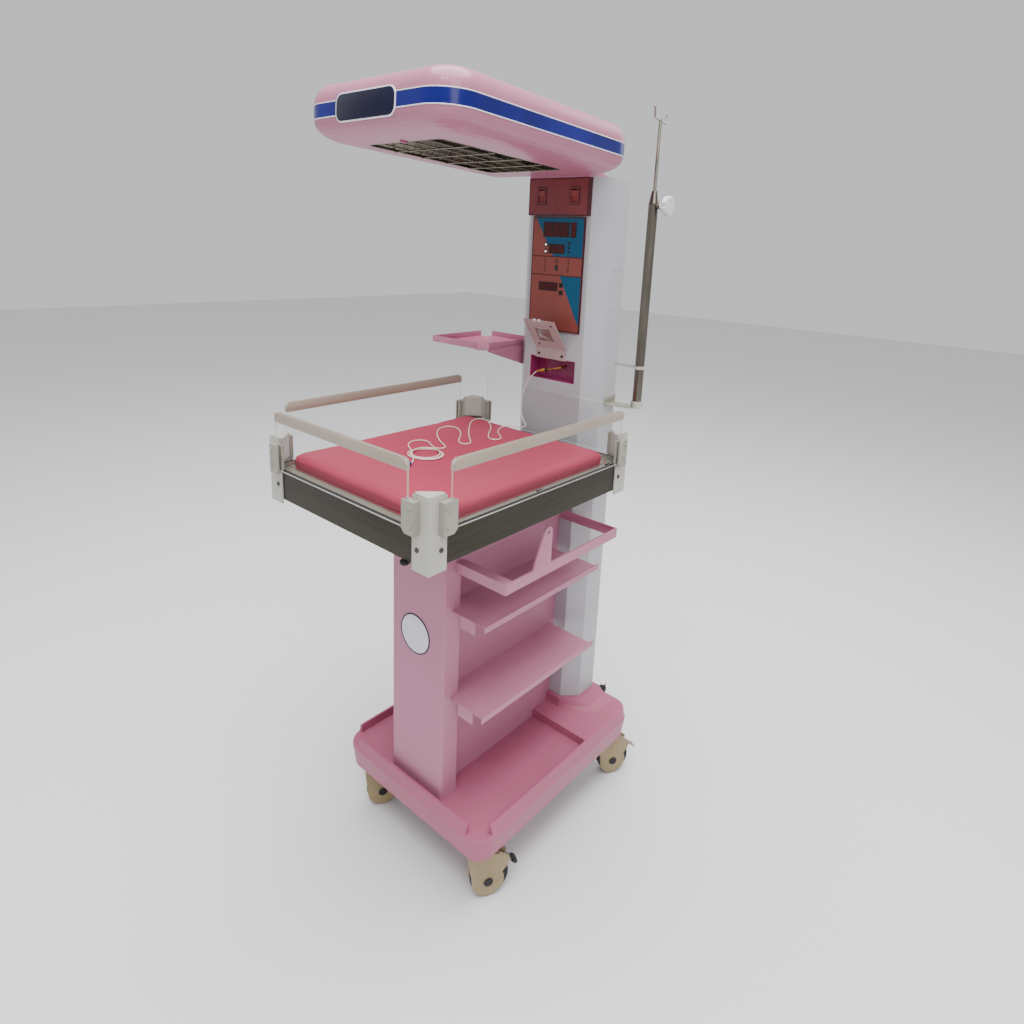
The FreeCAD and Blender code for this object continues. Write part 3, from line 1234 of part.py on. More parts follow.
def probe():
    """Probe plug in its pocket, the thin lead over the rear panel, its coil and sensor."""
    z = MATTRESS_TOP_Z + LEAD_R + 0.2
    tail = (-46.0, 320.0, 1243.0)
    ring_at = V(-22.0, 331.0, 1250.0)
    axis = V(*tail) - ring_at
    length = axis.Length
    collar = Part.makeCylinder(5.5, 9.0, ring_at, axis)
    shank = Part.makeCone(4.5, 3.0, length - 9.0, ring_at + axis * (9.0 / length), axis)
    stub = routed([(20.0, COLUMN_FRONT_Y + POCKET_DEPTH - POCKET_SHEET, 1262.0),
                   (14.0, 352.0, 1258.0), (-2.0, 340.0, 1254.0), tuple(ring_at)], 2.5)
    parts["probe_plug"] = collar.fuse([shank, stub.cut(probe_pocket())]).removeSplitter()
    route = [
        tail, (-58, 314, 1232), (-68, 306, 1212), (-77, 300, 1182), (-81, 297, 1150),
        (-76, 293, 1122), (-62, 288, 1103), (-46, 280, 1096), (-34, 266, z + 2), (-40, 250, z),
        (-60, 244, z), (-78, 232, z), (-76, 206, z), (-56, 174, z), (-32, 152, z),
        (-10, 138, z), (2, 120, z), (-12, 102, z), (-36, 114, z), (-62, 146, z), (-92, 188, z),
        (-132, 222, z), (-166, 240, z), (-186, 226, z), (-178, 196, z), (-144, 154, z),
        (-106, 112, z), (-68, 76, z), (-38, 52, z), (-22, 34, z), (-36, 16, z), (-60, 28, z),
        (-94, 72, z), (-130, 104, z), (-164, 116, z), (-184, 100, z), (-178, 70, z),
        (-150, 36, z), (-114, 8, z), (-78, -14, z), (-48, -26, z), (-36, -44, z),
        (-54, -58, z), (-78, -48, z), (-104, -32, z), (-130, -36, z), (-138, -64, z),
        (-116, -92, z), (-86, -106, z), (-66, -112, z),
    ]
    cx, cy = LEAD_COIL_AT
    inner, outer = LEAD_COIL_R
    z0 = MATTRESS_TOP_Z + 0.2
    coil = Part.makeCylinder(outer, LEAD_COIL_HEIGHT, V(cx, cy, z0))
    coil = coil.cut(Part.makeCylinder(inner, LEAD_COIL_HEIGHT, V(cx, cy, z0)))
    tail_route = [(cx - 8, cy - 38, z), (cx + 8, cy - 47, z), (cx + 22, cy - 58, z),
                  (cx + 28, cy - 72, z)]
    sx, sy, sz = tail_route[-1]
    sensor = Part.makeCylinder(9.0, 7.0, V(sx + 2, sy - 9, z0))
    sensor = sensor.makeFillet(2.5, [e for e in sensor.Edges
                                     if e.Curve.TypeId.endswith("Circle")])
    grip = rod((sx + 2, sy - 9, sz + 2), (sx, sy, sz), 2.6)
    sensor = sensor.fuse(grip.common(box(-200, 200, -400, 0, z0, z0 + 20)))
    parts["probe_sensor"] = sensor
    lead = routed(route, LEAD_R).cut([coil, parts["probe_plug"]])
    end = routed(tail_route, LEAD_R).cut([coil, sensor])
    parts["probe_coil"] = coil
    parts["probe_lead"] = group([max(lead.Solids, key=lambda s: s.Volume),
                                 max(end.Solids, key=lambda s: s.Volume)])


def build():
    body = base_body()
    parts["base_shell"] = base_shell(body)
    parts["base_underframe"] = base_underframe()
    parts["front_pedestal"] = front_pedestal()
    parts["web_panel"] = web_panel(body)
    parts["shelves"] = group([shelf(top) for top in SHELF_TOPS])
    parts["utility_frame"] = utility_frame()
    parts["column_shell"] = column_shell()
    parts["column_rear_cover"] = column_rear_cover()
    parts["switch_box"] = switch_box()
    parts["heater_switch"] = rocker(-ROCKER_X)
    parts["light_switch"] = rocker(ROCKER_X)
    parts["controller_plate"] = controller_plate()
    parts["display_windows"] = display_windows()
    parts["upper_key"] = key(KEY_Z[0])
    parts["lower_key"] = key(KEY_Z[1])
    parts["chart_plate"] = chart_plate()
    parts["probe_pocket"] = probe_pocket()
    parts["side_tray"] = side_tray()
    parts["tray_gusset"] = tray_gusset()
    parts["iv_tube"] = iv_tube()
    parts["iv_bracket"] = iv_bracket()
    parts["iv_rod"] = iv_rod()
    parts["iv_knob"] = iv_knob()
    hood_pieces()
    parts["corner_posts"] = corner_posts()
    parts["panel_holders"] = panel_holders()
    bed_panels()
    parts["bed_apron"] = bed_apron()
    parts["bed_tray"] = bed_tray()
    parts["mattress"] = mattress()
    parts["screws"] = screws()
    castors()
    mains()
    probe()


CORD_NODES = ("mains_gland", "mains_cord", "mains_coil", "mains_plug", "probe_plug",
              "probe_lead", "probe_coil", "probe_sensor")


def write():
    """Puts the origin under the middle of the object's own pieces, and saves each part."""
    whole = FreeCAD.BoundBox()
    for name, shape in parts.items():
        if name not in CORD_NODES:
            whole.add(shape.optimalBoundingBox(False))
    shift = V(-whole.Center.x, -whole.Center.y, -whole.ZMin)
    os.makedirs("parts", exist_ok=True)
    for name, shape in parts.items():
        shape.translate(shift)
        shape.exportStep("parts/%s.step" % name)
        if not shape.isValid():
            print("not valid:", name)
    print("origin moved by %.3f %.3f %.3f" % (shift.x, shift.y, shift.z))
    print("size %.1f %.1f %.1f" % (whole.XLength, whole.YLength, whole.ZLength))
    print(len(parts), "nodes")


build()
write()
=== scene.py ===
# Infant radiant warmer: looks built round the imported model. Metres, +Z up, +Y to the column.
import bpy
import bmesh
import math
import random
from mathutils import Matrix, Vector, noise


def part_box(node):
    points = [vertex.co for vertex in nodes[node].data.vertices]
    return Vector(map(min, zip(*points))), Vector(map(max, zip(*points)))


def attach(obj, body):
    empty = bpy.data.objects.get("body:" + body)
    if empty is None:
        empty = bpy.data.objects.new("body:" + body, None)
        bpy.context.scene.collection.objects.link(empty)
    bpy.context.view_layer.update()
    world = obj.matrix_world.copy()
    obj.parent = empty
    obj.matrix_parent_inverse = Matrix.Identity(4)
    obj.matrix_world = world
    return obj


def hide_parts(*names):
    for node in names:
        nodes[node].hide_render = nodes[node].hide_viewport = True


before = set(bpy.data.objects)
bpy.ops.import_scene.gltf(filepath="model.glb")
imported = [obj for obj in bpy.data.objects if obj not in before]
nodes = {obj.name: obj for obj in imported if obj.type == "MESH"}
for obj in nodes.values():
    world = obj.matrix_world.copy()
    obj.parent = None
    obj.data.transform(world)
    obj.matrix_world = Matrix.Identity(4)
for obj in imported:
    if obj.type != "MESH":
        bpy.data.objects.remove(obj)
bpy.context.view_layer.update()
scene = bpy.context.scene
random.seed(7)

# The drawing's millimetres, moved to the model's origin
SHIFT_X = 28.5
SHIFT_Y = -64.719
MM = 0.001

# Sizes that repeat the drawing's
COLUMN_FRONT = 328.0
PLATE_FRONT = 322.0
SWITCH_FRONT = 314.0
HOOD_PIVOT = (328.0, 1764.0)
HOOD_TILT = math.radians(2.7)
HOOD_MID_X = -9.0
STRIPE_Z = 1812.0
STRIPE_HALF = 14.5
BED_X = 275.0
BED_FRONT = -372.0
BED_REAR = 303.0
TRAIL_ANGLE = math.radians(60.0)
STEMS = {
    "front_left": (-208.0, -137.0), "front_right": (208.0, -137.0),
    "rear_left": (-208.0, 424.0), "rear_right": (208.0, 424.0),
}


def at(x, y, z):
    """A point of the drawing, in metres in the model's frame."""
    return Vector(((x + SHIFT_X) * MM, (y + SHIFT_Y) * MM, z * MM))


# ------------------------------------------------------------ camera
CAMERA_SPOT = (1138.7, -1152.8, 1595.6)
CAMERA_AZIMUTH = math.radians(40.305)
CAMERA_PITCH = math.radians(13.457)
CAMERA_ROLL = math.radians(2.486)
CAMERA_LENS = 23.89
CAMERA_SHIFT = (-0.0060, -0.1049)


def make_camera():
    """Camera at the place and angle that the photograph was taken from."""
    azimuth, pitch, roll = CAMERA_AZIMUTH, CAMERA_PITCH, CAMERA_ROLL
    forward = Vector((-math.sin(azimuth) * math.cos(pitch),
                      math.cos(azimuth) * math.cos(pitch), -math.sin(pitch)))
    level = Vector((math.cos(azimuth), math.sin(azimuth), 0.0))
    upright = level.cross(forward)
    right = math.cos(roll) * level + math.sin(roll) * upright
    up = -math.sin(roll) * level + math.cos(roll) * upright
    data = bpy.data.cameras.new("photo_camera")
    data.sensor_width = 36.0
    data.lens = CAMERA_LENS
    data.shift_x, data.shift_y = CAMERA_SHIFT
    data.clip_start = 0.05
    camera = bpy.data.objects.new("photo_camera", data)
    scene.collection.objects.link(camera)
    turn = Matrix((right, up, -forward)).transposed()
    camera.matrix_world = Matrix.Translation(at(*CAMERA_SPOT)) @ turn.to_4x4()
    scene.camera = camera


make_camera()


# ------------------------------------------------------------ materials
NOISE_BAND = (0.3, 0.7)
FLECK_BAND = (0.35, 0.75)
# pointiness band over which the painted edge highlight comes in
EDGE_HIGHLIGHT_BAND = (0.52, 0.60)
LEAST_ROUGHNESS = 0.02
COAT_ROUGHNESS = 0.06
GRAIN_DEPTH = 0.0004


def spread(tree, value, source, target=(0.0, 1.0)):
    """Maps a value from the source band to the target band."""
    node = tree.nodes.new("ShaderNodeMapRange")
    names = ("From Min", "From Max", "To Min", "To Max")
    for name, limit in zip(names, (*source, *target)):
        node.inputs[name].default_value = limit
    tree.links.new(value, node.inputs["Value"])
    return node.outputs["Result"]


def lay(tree, base, mask, color):
    """Lays a flat colour over the base where the mask is 1."""
    mix = tree.nodes.new("ShaderNodeMix")
    mix.data_type = "RGBA"
    tree.links.new(mask, mix.inputs["Factor"])
    tree.links.new(base, mix.inputs["A"])
    mix.inputs["B"].default_value = (*color, 1)
    return mix.outputs["Result"]


def noise_texture(tree, vector, scale, detail):
    node = tree.nodes.new("ShaderNodeTexNoise")
    node.inputs["Scale"].default_value = scale
    node.inputs["Detail"].default_value = detail
    tree.links.new(vector, node.inputs["Vector"])
    return node.outputs["Fac"]


def surface(name, color, rough, metal=0.0, coat=0.0, blotch=0.05, blotch_scale=5.0,
            grain=0.0, grain_scale=900.0, stretch=(1, 1, 1), rough_swing=0.05, edge=0.0,
            edge_highlight=None, speckle=0.0, alpha=1.0, glow=0.0, sheen=0.0, spec=0.35,
            paint=None):
    """Principled material with blotchy colour, uneven gloss, fine grain, rounded edges and, if
    given, a painted highlight: a lighter colour on sharp edges.
    """
    material = bpy.data.materials.new(name)
    material.use_nodes = True
    tree = material.node_tree
    shader = tree.nodes["Principled BSDF"]
    new, link = tree.nodes.new, tree.links.new

    coords = new("ShaderNodeTexCoord")
    mapping = new("ShaderNodeMapping")
    mapping.inputs["Scale"].default_value = stretch
    link(coords.outputs["Object"], mapping.inputs["Vector"])

    broad = noise_texture(tree, mapping.outputs["Vector"], blotch_scale, 4.0)
    ramp = new("ShaderNodeValToRGB")
    for element, place, share in zip(ramp.color_ramp.elements, NOISE_BAND, (-blotch, blotch)):
        element.position = place
        element.color = (*[min(1, c * (1 + share)) for c in color], 1)
    link(broad, ramp.inputs["Fac"])
    shade = ramp.outputs["Color"]

    if paint:
        shade = paint(tree, shade)

    fine = noise_texture(tree, mapping.outputs["Vector"], grain_scale, 3.0)
    if speckle:
        times = new("ShaderNodeVectorMath")
        times.operation = "MULTIPLY"
        link(shade, times.inputs[0])
        link(spread(tree, fine, FLECK_BAND, (1.0 - speckle, 1.0 + speckle)), times.inputs[1])
        shade = times.outputs["Vector"]

    # painted highlight: a lighter colour laid on sharp edges, found from pointiness
    if edge_highlight:
        lit_edges = new("ShaderNodeNewGeometry").outputs["Pointiness"]
        shade = lay(tree, shade, spread(tree, lit_edges, EDGE_HIGHLIGHT_BAND), edge_highlight)
    link(shade, shader.inputs["Base Color"])

    swing = (max(LEAST_ROUGHNESS, rough - rough_swing), rough + rough_swing)
    link(spread(tree, broad, NOISE_BAND, swing), shader.inputs["Roughness"])

    normal = None
    if edge:
        soft = new("ShaderNodeBevel")
        soft.samples = 4
        soft.inputs["Radius"].default_value = edge
        normal = soft.outputs["Normal"]
    if grain:
        bump = new("ShaderNodeBump")
        bump.inputs["Strength"].default_value = grain
        bump.inputs["Distance"].default_value = GRAIN_DEPTH
        link(fine, bump.inputs["Height"])
        if normal:
            link(normal, bump.inputs["Normal"])
        normal = bump.outputs["Normal"]
    if normal:
        link(normal, shader.inputs["Normal"])

    shader.inputs["Metallic"].default_value = metal
    shader.inputs["Specular IOR Level"].default_value = spec
    shader.inputs["Coat Weight"].default_value = coat
    shader.inputs["Coat Roughness"].default_value = COAT_ROUGHNESS
    shader.inputs["Sheen Weight"].default_value = sheen
    shader.inputs["Alpha"].default_value = alpha
    if glow:
        shader.inputs["Emission Color"].default_value = (*color, 1)
        shader.inputs["Emission Strength"].default_value = glow
    return material


class Sketch:
    """Small sums of shader nodes on the object's x and z, for painted fields."""

    def __init__(self, tree):
        self.tree = tree
        place = tree.nodes.new("ShaderNodeTexCoord")
        split = tree.nodes.new("ShaderNodeSeparateXYZ")
        tree.links.new(place.outputs["Object"], split.inputs["Vector"])
        self.x, self.z = split.outputs["X"], split.outputs["Z"]

    def sum(self, kind, a, b):
        node = self.tree.nodes.new("ShaderNodeMath")
        node.operation = kind
        for socket, value in zip(node.inputs, (a, b)):
            if isinstance(value, (int, float)):
                socket.default_value = value
            else:
                self.tree.links.new(value, socket)
        return node.outputs["Value"]

    def above(self, a, b):
        return self.sum("GREATER_THAN", a, b)

    def both(self, *masks):
        out = masks[0]
        for mask in masks[1:]:
            out = self.sum("MULTIPLY", out, mask)
        return out

    def either(self, *masks):
        out = masks[0]
        for mask in masks[1:]:
            out = self.sum("MAXIMUM", out, mask)
        return out

    def outside(self, left, right, low, high):
        """Mask of what lies outside a rectangle."""
        return self.either(self.above(left, self.x), self.above(self.x, right),
                           self.above(self.z, high), self.above(low, self.z))


MAROON = (0.055, 0.005, 0.008)
PANEL_BLUE = (0.004, 0.078, 0.165)
FILM_TOP = 1664 * MM
FILM_UPPER_LINE = 1561 * MM
FILM_LOWER_LINE = 1512 * MM
FILM_FOOT = 1366 * MM
FILM_HALF = 83.2
SWITCH_FIELD = (1667 * MM, 1762 * MM)
SWITCH_HALF = 95.5
BORDER = 0.0028
LINE_HALF = 0.0014


def across(x):
    """A drawing x in the model's metres."""
    return (x + SHIFT_X) * MM


def controller_fields(tree, base):
    """Coral film with a blue field above and below, maroon dividers and border."""
    s = Sketch(tree)

    def right_of_slant(top, slope, x):
        """Mask of what lies right of a line that leans from x at the top."""
        lean = s.sum("MULTIPLY", s.sum("SUBTRACT", top, s.z), slope)
        return s.above(s.x, s.sum("ADD", lean, across(x)))

    upper = s.both(s.above(s.z, FILM_UPPER_LINE), right_of_slant(FILM_TOP, 0.63, -77))
    lower = s.both(s.above(FILM_LOWER_LINE, s.z), right_of_slant(FILM_LOWER_LINE, 0.54, 13))
    out = lay(tree, base, s.either(upper, lower), PANEL_BLUE)
    lines = [s.both(s.above(s.z, z - LINE_HALF), s.above(z + LINE_HALF, s.z))
             for z in (FILM_UPPER_LINE, FILM_LOWER_LINE)]
    border = s.outside(across(-FILM_HALF), across(FILM_HALF), FILM_FOOT, FILM_TOP - BORDER)
    return lay(tree, out, s.either(border, *lines), MAROON)


def switch_field(tree, base):
    """Maroon border round the switch box's face."""
    low, high = SWITCH_FIELD
    border = Sketch(tree).outside(across(-SWITCH_HALF), across(SWITCH_HALF), low + BORDER,
                                  high - 0.003)
    return lay(tree, base, border, MAROON)


# pink_paint carries a painted highlight: a paler pink on its sharp edges
pink_paint = surface("pink_paint", (0.33, 0.088, 0.150), 0.44, coat=0.03, blotch=0.06,
                     blotch_scale=3.5, grain=0.12, grain_scale=700, edge=0.0012, speckle=0.03,
                     spec=0.2, edge_highlight=(0.46, 0.19, 0.28))
base_pink = surface("base_plastic", (0.38, 0.110, 0.182), 0.36, coat=0.05, blotch=0.07,
                    blotch_scale=2.8, grain=0.10, grain_scale=500, edge=0.002, speckle=0.03,
                    spec=0.22)
hood_pink = surface("hood_plastic", (0.40, 0.150, 0.225), 0.34, coat=0.22, blotch=0.05,
                    blotch_scale=2.2, grain=0.012, grain_scale=300, rough_swing=0.03,
                    speckle=0.01, edge=0.0015, spec=0.25)
stripe_blue = surface("stripe_blue", (0.003, 0.005, 0.135), 0.22, coat=0.15, blotch=0.25,
                      blotch_scale=7.0, rough_swing=0.05, spec=0.25)
white_paint = surface("white_paint", (0.43, 0.43, 0.455), 0.36, coat=0.1, blotch=0.04,
                      blotch_scale=3.0, grain=0.10, grain_scale=900, edge=0.0010,
                      speckle=0.02)
stainless = surface("stainless", (0.048, 0.043, 0.033), 0.33, metal=1.0, blotch=0.22,
                    blotch_scale=3.0, grain=0.45, grain_scale=90, stretch=(1, 1, 22),
                    rough_swing=0.09, edge=0.0006, speckle=0.14)
pole_chrome = surface("pole_chrome", (0.19, 0.172, 0.140), 0.24, metal=1.0, blotch=0.14,
                      blotch_scale=9.0, grain=0.25, grain_scale=120, stretch=(9, 9, 1),
                      speckle=0.08)
guard_wire = surface("guard_wire", (0.17, 0.150, 0.118), 0.26, metal=1.0, blotch=0.15,
                     blotch_scale=30.0)
wire_chrome = surface("wire_chrome", (0.40, 0.375, 0.32), 0.20, metal=1.0, blotch=0.12,
                      blotch_scale=30.0)
# bracket_white carries a painted highlight: a paler colour on its sharp edges
bracket_white = surface("bracket_white", (0.265, 0.254, 0.205), 0.34, coat=0.1, blotch=0.07,
                        blotch_scale=12.0, grain=0.12, grain_scale=600, edge=0.0012,
                        speckle=0.03, edge_highlight=(0.44, 0.43, 0.38))
holder_white = surface("holder_white", (0.30, 0.288, 0.236), 0.28, coat=0.15, blotch=0.07,
                       blotch_scale=18.0, grain=0.06, grain_scale=400, edge=0.0012,
                       speckle=0.03)
rail_white = surface("rail_white", (0.34, 0.285, 0.225), 0.32, coat=0.15, blotch=0.08,
                     blotch_scale=6.0, grain=0.06, grain_scale=300, speckle=0.04)
acrylic = surface("clear_acrylic", (0.30, 0.34, 0.34), 0.04, alpha=0.03, blotch=0.02,
                  rough_swing=0.02)
# edge faces of the clear sheets: a painted highlight, pale and half opaque
acrylic_edge = surface("acrylic_edge", (0.62, 0.64, 0.60), 0.25, alpha=0.45, blotch=0.05,
                       blotch_scale=20.0)
cream = surface("cream_plastic", (0.30, 0.225, 0.118), 0.32, coat=0.12, blotch=0.09,
                blotch_scale=20.0, grain=0.08, grain_scale=500, edge=0.0015, speckle=0.04)
tyre = surface("tyre_black", (0.009, 0.009, 0.010), 0.55, blotch=0.3, blotch_scale=25.0,
               grain=0.35, grain_scale=900, edge=0.001)
zinc = surface("zinc_steel", (0.24, 0.23, 0.20), 0.36, metal=0.9, blotch=0.2,
               blotch_scale=25.0, grain=0.2, grain_scale=350, edge=0.0008, speckle=0.10)
black_plastic = surface("key_black", (0.008, 0.008, 0.009), 0.36, blotch=0.2,
                        blotch_scale=40.0, grain=0.2, grain_scale=1200, edge=0.0005)
black_rubber = surface("black_cord", (0.009, 0.009, 0.010), 0.48, blotch=0.25,
                       blotch_scale=30.0, grain=0.2, grain_scale=900)
panel_film = surface("panel_film", (0.235, 0.060, 0.048), 0.34, coat=0.08, blotch=0.08,
                     blotch_scale=9.0, grain=0.05, grain_scale=800, speckle=0.03, spec=0.25,
                     paint=controller_fields)
switch_film = surface("switch_film", (0.185, 0.034, 0.040), 0.30, coat=0.12, blotch=0.18,
                      blotch_scale=8.0, grain=0.04, grain_scale=700, spec=0.3,
                      paint=switch_field)
window_red = surface("window_red", (0.022, 0.0015, 0.0025), 0.12, coat=0.1, blotch=0.2,
                     blotch_scale=30.0, spec=0.3)
segment_red = surface("segment_red", (0.090, 0.002, 0.003), 0.30, blotch=0.2,
                      blotch_scale=60.0, glow=0.25, spec=0.2)
switch_red = surface("switch_red", (0.17, 0.003, 0.004), 0.20, coat=0.25, blotch=0.25,
                     blotch_scale=40.0, glow=0.06, edge=0.0006)
card_white = surface("card_plate", (0.40, 0.29, 0.285), 0.34, coat=0.1, blotch=0.07,
                     blotch_scale=10.0, grain=0.10, grain_scale=700, edge=0.0008)
card_window = surface("card_window", (0.20, 0.115, 0.11), 0.20, coat=0.25, blotch=0.16,
                      blotch_scale=14.0, grain=0.03)
magenta = surface("magenta", (0.30, 0.030, 0.125), 0.28, coat=0.15, blotch=0.16,
                  blotch_scale=9.0, grain=0.06, grain_scale=500, edge=0.0006)
knob_white = surface("knob_white", (0.60, 0.60, 0.575), 0.26, coat=0.2, blotch=0.05,
                     blotch_scale=20.0, grain=0.05, grain_scale=400, edge=0.002)
reflector = surface("reflector", (0.20, 0.18, 0.145), 0.26, metal=1.0, blotch=0.3,
                    blotch_scale=14.0, grain=0.2, grain_scale=60, stretch=(1, 8, 1))
heater_grey = surface("heater", (0.09, 0.082, 0.072), 0.5, metal=0.6, blotch=0.25,
                      blotch_scale=30.0, grain=0.2, grain_scale=400)
screw_steel = surface("screw_steel", (0.08, 0.075, 0.065), 0.32, metal=0.8, blotch=0.2,
                      blotch_scale=50.0)
lead_white = surface("white_cord", (0.74, 0.64, 0.56), 0.38, coat=0.1, blotch=0.05,
                     blotch_scale=20.0)
brass = surface("brass_plug", (0.50, 0.27, 0.05), 0.28, metal=0.9, blotch=0.18,
                blotch_scale=60.0, grain=0.2, grain_scale=300)
sensor_blue = surface("sensor_blue", (0.006, 0.010, 0.17), 0.30, coat=0.2, blotch=0.15,
                      blotch_scale=50.0)
mattress_skin = surface("mattress_cover", (0.38, 0.036, 0.076), 0.52, blotch=0.08,
                        blotch_scale=4.0, grain=0.40, grain_scale=1100, sheen=0.01,
                        rough_swing=0.08, speckle=0.05, spec=0.18)
badge_navy = surface("badge_navy", (0.004, 0.004, 0.022), 0.30, coat=0.1, blotch=0.15,
                     blotch_scale=15.0, spec=0.25)
trim_white = surface("trim_white", (0.66, 0.64, 0.72), 0.24, coat=0.3, blotch=0.05,
                     blotch_scale=20.0)
lamp_lit = surface("lamp_lit", (0.95, 0.80, 0.70), 0.3, glow=0.9)
floor_pale = surface("floor_pale", (0.80, 0.80, 0.80), 0.60, blotch=0.01, blotch_scale=1.0,
                     grain=0.02, grain_scale=60, spec=0.1)

NODE_MATERIALS = {
    "base_shell": base_pink, "base_underframe": zinc, "front_pedestal": pink_paint,
    "web_panel": pink_paint, "shelves": pink_paint, "utility_frame": pink_paint,
    "column_shell": white_paint, "column_rear_cover": white_paint,
    "switch_box": switch_film, "heater_switch": switch_red, "light_switch": switch_red,
    "controller_plate": panel_film, "display_windows": window_red,
    "upper_key": black_plastic, "lower_key": black_plastic, "chart_plate": card_white,
    "probe_pocket": magenta, "side_tray": pink_paint, "tray_gusset": pink_paint,
    "iv_tube": pole_chrome, "iv_bracket": bracket_white, "iv_rod": wire_chrome,
    "iv_knob": knob_white, "hood_upper": hood_pink, "hood_lower": hood_pink,
    "hood_stripe": stripe_blue, "hood_neck": pink_paint, "hood_reflector": reflector,
    "heater_rods": heater_grey, "hood_guard": guard_wire, "corner_posts": bracket_white,
    "panel_holders": holder_white, "bed_apron": stainless, "bed_tray": bracket_white,
    "screws": screw_steel, "mains_gland": black_rubber, "mains_plug": black_plastic,
    "probe_plug": brass, "probe_sensor": sensor_blue,
}
for corner in STEMS:
    NODE_MATERIALS["castor_fork_" + corner] = cream
    NODE_MATERIALS["castor_wheel_" + corner] = tyre
    NODE_MATERIALS["castor_pedal_" + corner] = zinc
for node, material in NODE_MATERIALS.items():
    for socket in nodes[node].material_slots:
        socket.material = material


# ------------------------------------------------------------ building pieces
def piece(name, bm, material, slot, body="root", angle=35.0):
    """Makes a smooth-shaded object of a bmesh, riding on a body, with its material. The slot
    argument is not used.
    """
    bmesh.ops.recalc_face_normals(bm, faces=bm.faces)
    mesh = bpy.data.meshes.new(name)
    bm.to_mesh(mesh)
    bm.free()
    mesh.materials.append(material)
    mesh.polygons.foreach_set("use_smooth", [True] * len(mesh.polygons))
    mesh.set_sharp_from_angle(angle=math.radians(angle))
    made = bpy.data.objects.new(name, mesh)
    scene.collection.objects.link(made)
    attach(made, body)
    return made


def plane(x, y, z, across, up):
    """Matrix from millimetres across, up and outwards to metres, its origin at a drawing point."""
    u = Vector(across).normalized()
    v = Vector(up).normalized()
    turn = Matrix((u, v, u.cross(v))).transposed()
    return Matrix.Translation(at(x, y, z)) @ turn.to_4x4() @ Matrix.Scale(MM, 4)


def add_slab(bm, outline, place, low, high, bevel=0.3):
    """Adds a plate with rounded edges: an outline in the plane, from low to high outwards."""
    part = bmesh.new()
    bottom = [part.verts.new((u, v, low)) for u, v in outline]
    top = [part.verts.new((u, v, high)) for u, v in outline]
    part.faces.new(top)
    part.faces.new(bottom[::-1])
    count = len(outline)
    for i in range(count):
        j = (i + 1) % count
        part.faces.new((bottom[i], bottom[j], top[j], top[i]))
    if bevel:
        rims = [e for e in part.edges if abs(e.verts[0].co.z - e.verts[1].co.z) < 1e-6]
        bmesh.ops.bevel(part, geom=rims, offset=bevel, segments=2, profile=0.5,
                        affect="EDGES")
    merge(bm, part, place)


def add_lathe(bm, profile, place, steps):
    """Adds a turned form: (radius, height) points turned about the plane's outward axis."""
    part = bmesh.new()
    rings = []
    for r, h in profile:
        if r < 1e-6:
            rings.append([part.verts.new((0, 0, h))])
            continue
        rings.append([part.verts.new((r * math.cos(2 * math.pi * i / steps),
                                      r * math.sin(2 * math.pi * i / steps), h))
                      for i in range(steps)])
    for a, b in zip(rings, rings[1:]):
        for i in range(steps):
            j = (i + 1) % steps
            if len(a) == 1:
                part.faces.new((a[0], b[i], b[j]))
            elif len(b) == 1:
                part.faces.new((a[i], b[0], a[j]))
            else:
                part.faces.new((a[i], b[i], b[j], a[j]))
    merge(bm, part, place)


def merge(bm, part, place):
    """Moves a part to its place and adds it to the piece's mesh."""
    bmesh.ops.recalc_face_normals(part, faces=part.faces)
    mesh = bpy.data.meshes.new("scratch")
    part.to_mesh(mesh)
    part.free()
    mesh.transform(place)
    bm.from_mesh(mesh)
    bpy.data.meshes.remove(mesh)


def rounded(width, height, r, u=0.0, v=0.0, steps=5):
    """Outline of a rounded rectangle about (u, v)."""
    points = []
    for sx, sy, start in ((1, -1, -90), (1, 1, 0), (-1, 1, 90), (-1, -1, 180)):
        for i in range(steps + 1):
            t = math.radians(start + 90 * i / steps)
            points.append((u + sx * (width / 2 - r) + r * math.cos(t),
                           v + sy * (height / 2 - r) + r * math.sin(t)))
    return points


def close_rings(bm, rings):
    """Joins a closed row of section rings with quads."""
    for a, b in zip(rings, rings[1:] + rings[:1]):
        for k in range(len(a)):
            m = (k + 1) % len(a)
            bm.faces.new((a[k], b[k], b[m], a[m]))


def facing(x, y, z):
    """Upright plane that faces the bed's foot, at a drawing point."""
    return plane(x, y, z, (1, 0, 0), (0, 0, 1))


def add_bars(bm, bars, place, low, high, r, bevel):
    """Adds small bars with rounded corners, each (u, v, width, height)."""
    for u, v, w, h in bars:
        add_slab(bm, rounded(w, h, r, u, v, 2), place, low, high, bevel)


def box_bars(u, v, half_w, half_h, width, height, thick):
    """Four bars that frame a rectangle about (u, v): above, below, right and left."""
    return ((u, v + half_h, width, thick), (u, v - half_h, width, thick),
            (u + half_w, v, thick, height), (u - half_w, v, thick, height))


def slab(name, outline, place, low, high, material, bevel=0.3, **more):
    bm = bmesh.new()
    add_slab(bm, outline, place, low, high, bevel)
    return piece(name, bm, material, **more)


def lathe(name, profile, place, material, steps, **more):
    bm = bmesh.new()
    add_lathe(bm, profile, place, steps)
    return piece(name, bm, material, **more)


def tube(name, points, radius, material, sides):
    """Smooth cord: a NURBS curve whose control points are the route's points."""
    curve = bpy.data.curves.new(name, "CURVE")
    curve.dimensions = "3D"
    curve.bevel_depth = radius
    curve.bevel_resolution = sides
    curve.resolution_u = 8
    curve.use_fill_caps = True
    spline = curve.splines.new("NURBS")
    spline.points.add(len(points) - 1)
    for control, point in zip(spline.points, points):
        control.co = (*point, 1.0)
    spline.order_u = 3
    spline.use_endpoint_u = True
    curve.materials.append(material)
    made = bpy.data.objects.new(name, curve)
    scene.collection.objects.link(made)
    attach(made, "root")
    return made


def smooth(t):
    """Eases from 0 to 1."""
    t = min(1.0, max(0.0, t))
    return t * t * (3 - 2 * t)


